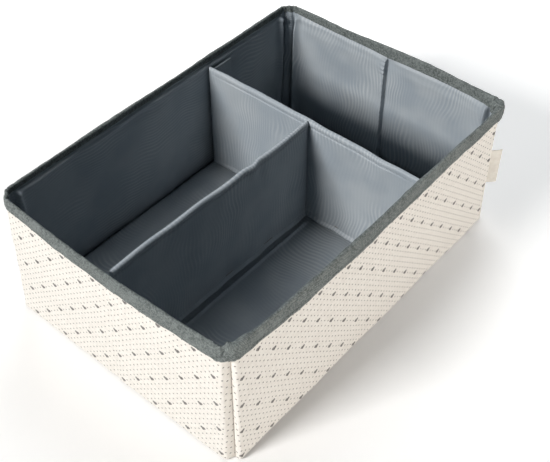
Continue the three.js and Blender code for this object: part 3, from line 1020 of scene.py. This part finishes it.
def on_lining_line(walk, swell, z):
    """Points that stand off the lining's line by swell, but never so far out that they reach the canvas."""
    tape_edge = rim_z - inside_length(walk)
    least = np.where(z > THINNEST_FROM, THINNEST_INSET, LEAST_INSET)
    least = least + canvas_sink(walk) * seam_fade(canvas_top - z)
    inset = lining_line(z) + swell * ramp(z, tape_edge, tape_edge - OPEN_BELOW)
    return wall(walk, np.maximum(inset, least), z)


print("wall at the rim", round(float(lining_line(rim_z)), 1), "mm thick")

# %% Where loop tapes hold the lining
HELD_REACH = 6.0
loop_tapes = {
    "front_loop_tape": (front, 1, 0),
    "rear_loop_tape": (rear, -1, 0),
    "left_loop_tape": (left, -1, 1),
}


def tape_walks(node):
    """Walked lengths at which a loop tape starts and ends."""
    middle, sign, axis = loop_tapes[node]
    return np.sort(middle + sign * np.array(node_box(node))[:, axis])


def held_flat(walk, z):
    """0 where a loop tape holds the lining flat, rising to 1 a little way off it."""
    free = np.ones_like(z)
    for node in loop_tapes:
        (start, end), low, high = tape_walks(node), *node_box(node)
        aside = np.abs(walk - (start + end) / 2) - (end - start) / 2
        above = np.abs(z - (low[2] + high[2]) / 2) - (high[2] - low[2]) / 2
        free = np.minimum(free, ramp(np.maximum(aside, above), 0.0, HELD_REACH))
    return free


print("rear loop tape walked", tape_walks("rear_loop_tape").round(1))

# %% Lining panels
LINING_THICK = 0.5
LINING_STEP = 2.5
LINING_FOOT = 1.4
LINING_WAVES = ((0.55, 90.0), (0.22, 28.0))
FINE_FROM = 104.0
BELLY = 0.8
ROLL_BELOW = 3.7
ROLL_HEIGHT = 1.8
ROLL_WIDTH = 2.7
CREASED_ROLL = 0.35
FOLD_LIP = 3.4
FOLD_DEPTH = 2.4
FOLD_STEP = 0.18
PUCKER_PITCH = 4.6
PUCKER = 0.16
SEAM_DIVE = 9.0
SEAM_ROLL = 4.6
lining_top = wall_top - 1.0


def fold(to_fold, z, lip):
    """Height of the lining beside a fold: it is proud past the step, puckered there, and sunk before it."""
    proud = 1 / (1 + np.exp(-to_fold / FOLD_STEP))
    wave = np.sin(z * 2 * np.pi / PUCKER_PITCH + 1.5 * np.sin(z / 17.0))
    pucker = 1 + PUCKER * wave * bump(to_fold, 1.0, 4.0)
    raised = lip * proud * pucker * np.exp(-np.clip(to_fold, 0, None) / 11.0)
    return raised - FOLD_DEPTH * (1 - proud) * np.exp(np.clip(to_fold, None, 0) / 4.0)


def lining_panel(name, start, end, lip, crosswise, seed):
    """Lining between two walked lengths: top roll, sewn edges, unevenness and, if it has a lip, the fold."""
    walk = np.union1d(panel_walks(start, end, LINING_STEP), (start + end) / 2 + np.linspace(-0.7, 0.7, 8))
    z = np.concatenate([np.linspace(LINING_FOOT, FINE_FROM, 40)[:-1], np.linspace(FINE_FROM, lining_top, 36)])
    walk, z = np.meshgrid(walk, z)
    swell = (uneven(walk, z, seed, LINING_WAVES) + BELLY * bump(z, 60.0, 45.0)) * held_flat(walk, z)
    roll_z = rim_z - inside_length(walk) - ROLL_BELOW + 1.1 * ripple(walk, 0 * z, 70.0, seed + 2)
    roll = ROLL_HEIGHT * (1 + 0.25 * ripple(walk, 0 * z, 45.0, seed + 3))
    swell = swell + (CREASED_ROLL if lip else 1.0) * roll * bump(z, roll_z, ROLL_WIDTH)
    to_seam = np.minimum(walk - start, end - walk)
    swell = swell - SEAM_DIVE * bump(to_seam, 0.0, 2.3) + SEAM_ROLL * bump(to_seam, 4.8, 2.6)
    if lip:
        swell = swell + fold(walk - (start + end) / 2, z, lip)
    uv = np.stack([z, walk] if crosswise else [walk, z], -1)
    piece = cloth_grid(name, on_lining_line(walk, swell, z), uv, LINING_THICK, flip=True)
    (end - start) * MM
    wall_top * MM
    return piece


lining_panels = {
    "lining_right_panel": (right - half_flat_y, right + half_flat_y, FOLD_LIP, False, 61),
    "lining_rear_panel": (rear - half_flat_x, rear + half_flat_x, 0.0, True, 64),
    "lining_left_panel": (left - half_flat_y, left + half_flat_y, 0.4, False, 67),
    "lining_front_panel": (front - half_flat_x, front + half_flat_x, 0.0, True, 70),
}
for node, facts in lining_panels.items():
    dress(lining_panel("cloth_" + node, *facts), "shell", "lining_cloth", lining, node)
print(len(lining_panels), "lining panels")

# %% [markdown]
# The corner gussets are the soft part of the lining: narrow strips with no board behind them, gathered
# by the binding at the top, so that they lie in small sideways folds there.

# %% Corner gussets
GATHER_PITCH = 2.6
GATHER_HEIGHT = 0.35
GATHER_DOWN = 60.0
GUSSET_DIVE = 6.0
GUSSET_STAND = 0.9
GUSSET_WAVE = 0.3


def gusset(name, start, end, seed, full):
    """Corner strip of lining with gathers that fade downwards; full says how far its middle stands in."""
    walk, z = np.meshgrid(np.linspace(start, end, 41), np.linspace(LINING_FOOT, lining_top, 240))
    gathers = np.sin((z + 2.0 * ripple(walk, z, 40.0, seed)) * 2 * np.pi / GATHER_PITCH)
    swell = GATHER_HEIGHT * ramp(z, wall_top - GATHER_DOWN, wall_top) * gathers
    to_seam = np.minimum(walk - start, end - walk)
    swell = swell + GUSSET_STAND - GUSSET_DIVE * bump(to_seam, 0.0, 3.2)
    swell = swell + GUSSET_WAVE * ripple(walk, z, 30.0, seed + 1) + full * (1 - bump(to_seam, 0.0, 2.5))
    points = on_lining_line(walk, swell, z)
    piece = cloth_grid(name, points, np.stack([walk, z], -1), LINING_THICK, flip=True)
    (end - start) * MM
    wall_top * MM
    return piece


gussets = {
    "lining_rear_right_gusset": (right + half_flat_y, rear - half_flat_x, 81, 0.0),
    "lining_rear_left_gusset": (rear + half_flat_x, left - half_flat_y, 83, 0.0),
    "lining_front_left_gusset": (left + half_flat_y, front - half_flat_x, 85, 1.2),
    "lining_front_right_gusset": (front + half_flat_x, right - half_flat_y + perimeter, 87, 0.0),
}
for node, facts in gussets.items():
    dress(gusset("cloth_" + node, *facts), "shell", "lining_cloth", lining, node)
print(len(gussets), "gussets")

# %% [markdown]
# ## Rim binding
# One tape is folded over the raw top edges and sewn through. Its section is an upright leg outside, a
# half round over the rim and a shorter leg inside; carried round the outline it gives the binding. The
# tape is sewn by hand round corners, so its lower edge wanders, it puckers a little everywhere and it
# is creased at both sides of each corner. Its end lies over its start at the front left corner.

# %% Binding section and course
BIND_OUT_INSET = -0.8
BIND_IN_INSET = 2.15
BIND_OUTSIDE = 16.0
BIND_INSIDE = 6.0
BIND_THICK = 0.7
BIND_STEP = 1.8
EDGE_WAVES = ((0.9, 48.0), (0.4, 17.0))
LINING_GAP = 0.75
LEG_PUFF = 0.3
FINE_PUCKER = 0.16
BROAD_PUCKER = 0.30
SEWN_AT = 3.8
SEWN_DEPTH = 0.6
EDGE_DEPTH = 0.5
CORNER_WIDE = 13.0
CORNER_FOLD = 0.7
CORNER_BULK = 4.0
TUCK_PITCH = 6.3
TUCK_HEIGHT = 0.5
TURN_AT = 5.9
JOIN_REACH = 25.0
FLAP_LOW = 5.6
DOUBLE_LIFT = 1.1
DOUBLE_GROOVE = 1.6
LOWEST_PUFF = -0.6
bind_round = (BIND_IN_INSET - BIND_OUT_INSET) / 2
bind_middle = (BIND_IN_INSET + BIND_OUT_INSET) / 2
bind_turn_z = rim_z - bind_round
outer_leg = BIND_OUTSIDE - bind_round
inner_leg = BIND_INSIDE - bind_round
tape_width = outer_leg + np.pi * bind_round + inner_leg
leg_walks = np.array([rear, rear_left - 30, rear_left, rear_left + 25, left, front_left - 25, front_left,
                      front_left + 35, front - 50, front + 50, front_right, rear + perimeter])
leg_lengths = np.array([16.0, 14.5, 9.5, 11.5, 15.5, 15.5, 13.0, 16.0, 18.0, 16.0, 13.0, 16.0])


def tape_puff(walk, width, turn, calm):
    """How far the tape stands off its section: puffed, puckered, tucked at corners, drawn in where sewn."""
    to_corner = np.abs(closest(walk[..., None], corner_middles)).min(-1)
    pucker = FINE_PUCKER * ripple(walk, 1.6 * width, 15.0, 93)
    pucker = pucker + BROAD_PUCKER * ripple(walk, 0.4 * width, 60.0, 94)
    tuck = np.sin(walk * 2 * np.pi / TUCK_PITCH + 0.25 * width) * (0.25 + 0.75 * np.sin(turn / 2))
    puff = LEG_PUFF * np.sin(np.pi * ramp(width, 0.0, outer_leg)) ** 2 + calm * pucker
    puff = puff + TUCK_HEIGHT * bump(to_corner, 0.0, CORNER_WIDE) * tuck
    puff = puff - CORNER_FOLD * bump(to_corner, TURN_AT, 0.8)
    return puff - SEWN_DEPTH * bump(width, SEWN_AT, 0.7) - EDGE_DEPTH * bump(width, 0.0, 1.6)


def binding_point(walk, width, lift=0.0):
    """Point of the tape: walked length round the rim, distance over it from its outer edge, and lift.

    A half round of bind_round joins an outer and an inner leg, and puff moves it off along its normal. The
    unevenness is calmed in the middle of the right wall, where the mesh closes.
    """
    calm = ramp(np.abs(closest(walk, right)), 0.0, JOIN_REACH)
    wander = calm * uneven(walk, 0 * walk, 91, EDGE_WAVES)
    turn = np.clip((width - outer_leg) / bind_round, 0, np.pi)
    leg = np.interp(wrapped(walk, rear), leg_walks, leg_lengths) / BIND_OUTSIDE
    leg_out = np.clip(outer_leg - width, 0, None) * (leg + 0.7 * wander / outer_leg)
    leg_in = np.clip(width - outer_leg - np.pi * bind_round, 0, None)
    leg_in = leg_in * (inside_length(walk) - bind_round) / inner_leg

    doubled = bump(closest(walk, front_left + 10.0), 0.0, CORNER_WIDE) ** 0.5
    doubled = doubled * ramp(width, outer_leg, outer_leg - 6.0)
    puff = tape_puff(walk, width, turn, calm) + lift
    double = DOUBLE_LIFT - DOUBLE_GROOVE * bump(width, FLAP_LOW - 1.9, 0.8)
    puff = np.maximum(puff + doubled * double, LOWEST_PUFF)
    puff = puff + CORNER_BULK * bump(closest(walk, front_right), 0.0, CORNER_WIDE) * (turn / np.pi) ** 2

    z = bind_turn_z + (bind_round + puff) * np.sin(turn) - leg_out - leg_in
    on_lining = np.clip(lining_line(z) + LINING_GAP - BIND_IN_INSET, 0, None) * (leg_in > 0)
    return wall(walk, bind_middle - (bind_round + puff) * np.cos(turn) + on_lining, z)


fine_walks = (corner_middles[:, None] + np.arange(-11.0, 11.1, 0.55)).ravel()
bind_walks = np.union1d(np.linspace(0, perimeter, int(perimeter / BIND_STEP) + 1), fine_walks % perimeter)
walk_grid, width_grid = np.meshgrid(bind_walks, np.linspace(0, tape_width, 44))
binding = cloth_grid("woven_binding", binding_point(walk_grid, width_grid),
                     np.stack([walk_grid, width_grid], -1), BIND_THICK)
merge_doubles(binding)
tape_width * MM
dress(binding, "shell", "binding_tape", tape_finish, "rim_binding")
print(f"binding tape {tape_width:.1f} mm wide, {perimeter:.0f} mm long")

# %% Tape end at the front left corner
FLAP_END = 24.0
FLAP_SLANT = 0.33
FLAP_BEFORE = 4.5
FLAP_LIFT = 1.4
FLAP_SINK = 2.1
flap_high = tape_width - 1.0


def flap_point(share, width):
    """Point of the tape's end: a slanting edge at share 0, a bulge over the rim, sunk again at share 1."""
    start = FLAP_SLANT * (width - FLAP_LOW) - FLAP_BEFORE
    walk = front_left + start + share * (FLAP_END - start)
    bulge = bump(width, outer_leg, 8.0) * (1 - np.exp(-share / 0.06)) * (1 - share) ** 0.7
    return binding_point(walk, width, FLAP_LIFT + bulge - FLAP_SINK * ramp(share, 0.7, 1.0))


share_grid, flap_grid = np.meshgrid(np.linspace(0, 1, 36), np.linspace(FLAP_LOW, flap_high, 30))
flap_uv = np.stack([front_left + FLAP_END * share_grid, flap_grid], -1)
flap = cloth_grid("binding_end_flap", flap_point(share_grid, flap_grid), flap_uv, BIND_THICK)
(flap_high - FLAP_LOW) * MM
dress(flap, "shell", "binding_tape", tape_finish)
print(f"tape end over {FLAP_END:.0f} mm")


# %% [markdown]
# ## Stitches
# A row of thread holds each leg of the tape. A stitch is a little spindle of a few dozen faces, and all
# of a row are worked out at once: the spindle's ring points are spread along each stitch's own axes.

# %% Stitch rows
STITCH_LENGTH = 2.7
STITCH_PITCH = 3.4
STITCH_HALF_THICK = 0.28


def stitches(name, middles, alongs, outs):
    """One mesh of spindles at middles, lying along alongs and standing on the face that outs leaves."""
    alongs = alongs / np.linalg.norm(alongs, axis=-1, keepdims=True)
    outs = outs / np.linalg.norm(outs, axis=-1, keepdims=True)
    sides = np.cross(alongs, outs)
    shares = np.array([-0.5, -0.38, -0.12, 0.12, 0.38, 0.5])
    radii = STITCH_HALF_THICK * np.array([0.05, 0.8, 1.0, 1.0, 0.8, 0.05])
    round_it = np.linspace(0, 2 * np.pi, 7)
    lift = radii[:, None] * np.sin(round_it) + STITCH_HALF_THICK * (0.35 - 2.2 * np.abs(shares[:, None]) ** 3)
    aside = radii[:, None] * np.cos(round_it) * 1.25
    points = (middles[:, None, None] + STITCH_LENGTH * shares[:, None, None] * alongs[:, None, None]
              + lift[..., None] * outs[:, None, None] + aside[..., None] * sides[:, None, None])
    count, rows, cols = points.shape[:3]
    one = grid_faces(rows, cols)
    faces = (one[None] + (np.arange(count) * rows * cols)[:, None, None]).reshape(-1, 4)
    flat = points.reshape(-1, 3)
    piece = cloth_object(name, flat, faces, flat[:, :2])
    merge_doubles(piece, 0.01)
    return piece


def row_on(surface, start, end, width):
    """Middles, directions and outward normals of stitches along a surface at a fixed width."""
    walk = np.arange(start, end, STITCH_PITCH)
    width = np.full_like(walk, width)
    middles = surface(walk, width)
    alongs = surface(walk + 0.5, width) - surface(walk - 0.5, width)
    acrosses = surface(walk, width + 0.3) - surface(walk, width - 0.3)
    return middles, alongs, np.cross(alongs, acrosses)


for name, width in (("binding_stitches_outside", SEWN_AT), ("binding_stitches_inside", tape_width - 2.0)):
    thread = stitches(name, *row_on(binding_point, 0.0, perimeter - 1.0, width))
    dress(thread, "shell", "binding_tape", tape_finish)
    print(name, len(thread.data.polygons), "faces")

# %% [markdown]
# ## Loop tapes and label
# Three pieces of loop tape are sewn to the lining where the divider tabs stick. The side label is a bit
# of tape folded in half, with its ends caught in the front right corner seam; it is left blank.

# %% Loop tapes
TAPE_HALF = 0.4
TAPE_STAND = 1.0
TAPE_STEP = 4.0


def loop_tape(node):
    """Loop tape on the lining: a pillow laid on the settled wall, at the node's place and size."""
    low, high = node_box(node)

    def on_lining(walk, up, off):
        return wall(walk, lining_inset + TAPE_STAND - off, up)

    return pillow("pile_" + node, tuple(tape_walks(node)), (low[2], high[2]), TAPE_HALF, TAPE_STEP, on_lining)


for node in loop_tapes:
    dress(loop_tape(node), "shell", "hook_and_loop_tape", pile_finish, node)
print(len(loop_tapes), "loop tapes")

# %% Side label
LABEL_POINT = np.radians(315.0)
LABEL_HALF = 0.45
LABEL_REACH = 9.5
LABEL_ROOT = 1.0
LABEL_CURL = 0.012
label_low, label_high = node_box("side_label")[0][2], node_box("side_label")[1][2]
label_root = np.array(plan(seams["front_right"], 1.5))
label_way = np.array([np.cos(LABEL_POINT), np.sin(LABEL_POINT)])
label_side = np.array([-label_way[1], label_way[0]])


def label_place(along, up, off):
    """Label points: out from the seam along its way, curling a little towards its free corner."""
    share = (up - label_low) / (label_high - label_low)
    curl = LABEL_CURL * np.clip(along, 0, None) ** 2 * (0.4 + 0.6 * share)
    flat = label_root + along[..., None] * label_way + (off + curl)[..., None] * label_side
    return settle(np.concatenate([flat, up[..., None]], -1))


label = pillow("blank_side_label", (-LABEL_ROOT, LABEL_REACH), (label_low, label_high), LABEL_HALF, 2.0,
               label_place)
dress(label, "shell", "label_tape", label_finish, "side_label")
print("blank label", LABEL_REACH, "mm out of the seam")

# %% [markdown]
# ## Floor panel
# The drop-in floor is a board wrapped in the lining cloth over thin wadding, so it is a flat, slightly
# crowned cushion with a soft edge. Its board stays the CAD solid inside.

# %% Floor cover
FLOOR_TOP = 9.6
FLOOR_LOW = 2.3
FLOOR_GAP = 2.6
FLOOR_ROUND = 3.0
FLOOR_REAR = 3.5
FLOOR_STEP = 3.0
FLOOR_WAVES = ((0.06, 55.0), (0.03, 20.0))
RIDGE_HEIGHT = 0.5
RIDGE_Y = -7.4
floor_half_x = half_length - lining_inset - FLOOR_GAP
floor_half_y = half_width - lining_inset - FLOOR_GAP


def floor_place(along, up, off):
    """Along is +X, drawn in at the cut corners; up is +Y, reaching further at the rear; off is +Z."""
    edge_x, edge_y = plan(np.linspace(0, perimeter / 4, 400), lining_inset + FLOOR_GAP)
    x = along * np.interp(np.abs(up), edge_y, edge_x) / floor_half_x
    y = up + FLOOR_REAR * np.clip(up / half_width, 0, 1)
    return np.stack([x, y, (FLOOR_TOP + FLOOR_LOW) / 2 + off], -1)


def floor_loft(along, up):
    """Factor on the floor pad's half thickness: uneven wadding, and a soft ridge beside the divider."""
    ridge = RIDGE_HEIGHT * bump(up, RIDGE_Y, 1.5) * ramp(along, 54.0, 48.0)
    return 1 + uneven(along, up, 101, FLOOR_WAVES) + ridge


floor_pad = pillow("padded_floor_cover", (-floor_half_x, floor_half_x), (-floor_half_y, floor_half_y),
                   (FLOOR_TOP - FLOOR_LOW) / 2, FLOOR_STEP, floor_place, FLOOR_ROUND, floor_loft,
                   more=np.linspace(-12.0, -2.0, 26))
dress(floor_pad, "floor_panel", "lining_cloth", lining, "floor_cover")
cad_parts["floor_board"].data.materials.clear()
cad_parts["floor_board"].data.materials.append(board_finish)
print("floor pad top at", FLOOR_TOP, "mm")

# %% [markdown]
# ## Dividers
# Each divider is a board in a sleeve of lining cloth. The sleeve is pressed flat along its top, with a
# row of stitches below the fold, and it ends in a hem at the foot. The cloth is a little loose, so faint
# upright folds run down its faces, and the boards have a slight bow, as old card has.

# %% How the dividers bow and wander
DIVIDER_FOOT = FLOOR_TOP + 0.5
TAB_RUN = 30.0
TAB_ROOM = 0.35
CROSS_BOW = 0.9
LONG_BOW = 1.1
TOP_WAVE = 0.55
DIMPLE_X = -15.0
DIMPLE_DEPTH = 2.2
DIMPLE_FOLD = 1.2
cross_low, cross_high = node_box("cross_divider_cover")
long_low = node_box("long_divider_cover")[0]
cross_x = (cross_low[0] + cross_high[0]) / 2
sleeve_half = (cross_high[0] - cross_low[0]) / 2
divider_top = cross_high[2]


def cross_bow(along, up):
    """Bow of the cross divider: a shallow wave along it, more at the top, giving way to the folded tabs."""
    bow = CROSS_BOW * np.sin(along / 52.0 + 0.4) * (0.4 + 0.6 * up / divider_top)
    run = ramp(np.abs(along), cross_high[1], cross_high[1] - TAB_RUN)
    return bow * run - TAB_ROOM * (1 - run)


def long_bow(along, up):
    """Bow of the long divider: a shallow wave, a dimple near the T seam and a fold running down from it."""
    wave = LONG_BOW * np.sin((along + 60.0) / 48.0) * (0.35 + 0.65 * up / divider_top)
    crease = along - DIMPLE_X - 0.22 * (divider_top - up)
    dent = DIMPLE_DEPTH * bump(along, DIMPLE_X, 6.0) * bump(up, 122.0, 12.0)
    return wave + dent - DIMPLE_FOLD * bump(crease, 5.0, 5.0) * bump(up, 104.0, 24.0)


def top_wave(along, up, seed):
    """How far the top edge of a sleeve wanders up and down."""
    return TOP_WAVE * ripple(along, 0 * along, 36.0, seed) * np.clip(up / divider_top, 0, 1) ** 10


def cross_place(along, up, off):
    """Along is +Y, off is +X from the divider's middle."""
    return np.stack([cross_x + off, along, up + top_wave(along, up, 131)], -1)


def long_place(along, up, off):
    """Along is +X, off is -Y from the divider's middle."""
    return np.stack([along, -off, up + top_wave(along, up, 132)], -1)


print("dividers from", round(DIVIDER_FOOT, 1), "to", round(float(divider_top), 1), "mm")

# %% Divider sleeves
SLEEVE_STEP = 2.5
SLEEVE_ROUND = 2.2
TOP_BAND = 6.0
LEAST_THICK = 0.66
CARD_SHARE = 0.45
CARD_STEP = 12.0
SEAM_MEET = 0.4


def sleeve_thickness(seed, ends, flat_run):
    """Factor on a sleeve's half thickness: pressed top band, hem at the foot and loose upright folds.

    Over flat_run at both ends they fade, where the tabs fold against the sleeve.
    """
    def factor(along, up):
        calm = ramp(np.minimum(along - ends[0], ends[1] - along), 0.0, flat_run)
        loose = 0.34 * ripple(along, 0.2 * up, 30.0, seed) + 0.10 * ripple(along, up, 60.0, seed + 1)
        folds = 1 + calm * loose * ramp(up, divider_top, divider_top - 20.0)
        band = -0.38 * bump(up, divider_top - TOP_BAND, 0.9) + 0.25 * bump(up, divider_top - 2.5, 2.5)
        hem = 1.0 * bump(up, DIVIDER_FOOT + 4.5, 1.7) - 0.3 * bump(up, DIVIDER_FOOT + 8.0, 1.4)
        return np.maximum(folds, LEAST_THICK) + calm * (band + hem)
    return factor


def divider(body, ends, place_it, bow, thick):
    """Sleeve and board of one divider, on the same bowed middle surface."""
    hem_rows = DIVIDER_FOOT + np.arange(3.0, 11.0, 0.6)
    fine_rows = np.concatenate([hem_rows, divider_top - np.arange(3.0, 9.0, 0.5)])
    sleeve = pillow(body + "_sleeve", ends, (DIVIDER_FOOT, divider_top), sleeve_half, SLEEVE_STEP,
                    place_it, SLEEVE_ROUND, thick, bow, fine_rows)
    dress(sleeve, body, "lining_cloth", lining, body + "_cover")
    card = pillow(body + "_card", (ends[0] + 1.5, ends[1] - 1.5), (DIVIDER_FOOT + 1.0, divider_top - 3.0),
                  sleeve_half * CARD_SHARE, CARD_STEP, place_it, bend=bow)
    dress(card, body, "stiffener_board", board_finish, body + "_board")


cross_ends = (cross_low[1], cross_high[1])
long_ends = (long_low[0], cross_low[0] - SEAM_MEET)
cross_thick = sleeve_thickness(111, cross_ends, TAB_RUN)
long_thick = sleeve_thickness(121, long_ends, 1.0)
dividers = {
    "cross_divider": (cross_ends, cross_place, cross_bow, cross_thick),
    "long_divider": (long_ends, long_place, long_bow, long_thick),
}
for body, facts in dividers.items():
    divider(body, *facts)
    print(body, "from", round(facts[0][0], 1), "to", round(facts[0][1], 1), "mm")


# %% Divider stitches
def sleeve_face(place_it, bow, thick, sign):
    """The face of a sleeve as a function of length and height, for a row of stitches to lie on."""
    def face(along, up):
        off = bow(along, up) + sign * sleeve_half * thick(along, up)
        return place_it(along, up, off)
    return face


for body, (ends, *shape) in dividers.items():
    for side, sign in (("plus", 1.0), ("minus", -1.0)):
        face = sleeve_face(*shape, sign)
        middles, alongs, outs = row_on(face, ends[0] + 5.0, ends[1] - 5.0, divider_top - TOP_BAND)
        thread = stitches(f"{body}_stitches_{side}", middles, alongs, outs * sign)
        dress(thread, body, "lining_cloth", lining)
print(2 * len(dividers), "rows of divider stitches")

# %% [markdown]
# ## Tabs
# Each divider ends in a cloth tab that turns along the wall and sticks there: a flat pillow of doubled
# lining with a patch of hook tape on its wall side. The tabs swing on their own bodies, so each keeps to
# its node's place.

# %% End tabs and hook tapes
TAB_STEP = 3.0
LEFT_TAB_SHORT = 7.0


def flat_patch(name, node, axis, short=0.0):
    """A pillow filling a thin upright node, short of its top: axis is the coordinate that runs along it."""
    low, high = node_box(node)
    thin = 1 - axis
    centre = (high[thin] + low[thin]) / 2

    def lay(along, up, off):
        if axis == 0:
            return np.stack([along, centre - off, up], -1)
        return np.stack([centre + off, along, up], -1)

    half = (high[thin] - low[thin]) / 2
    return pillow(name, (low[axis], high[axis]), (low[2], high[2] - short), half, TAB_STEP, lay)


tabs = {
    "front_tab": ("cross_divider_front_tab", "front_hook_tape", 0, 0.0),
    "rear_tab": ("cross_divider_rear_tab", "rear_hook_tape", 0, 0.0),
    "left_tab": ("long_divider_tab", "left_hook_tape", 1, LEFT_TAB_SHORT),
}
for body, (tab_node, tape_node, axis, short) in tabs.items():
    tab = flat_patch(body + "_cloth", tab_node, axis, short)
    dress(tab, body, "lining_cloth", lining, tab_node)
    patch = flat_patch(body + "_hooks", tape_node, axis)
    dress(patch, body, "hook_and_loop_tape", pile_finish, tape_node)

# %% [markdown]
# ## The end
# The view layer is brought up to date once more. The dressed part has to stay within the solids'
# box, apart from what cloth may stand proud.

bpy.context.view_layer.update()
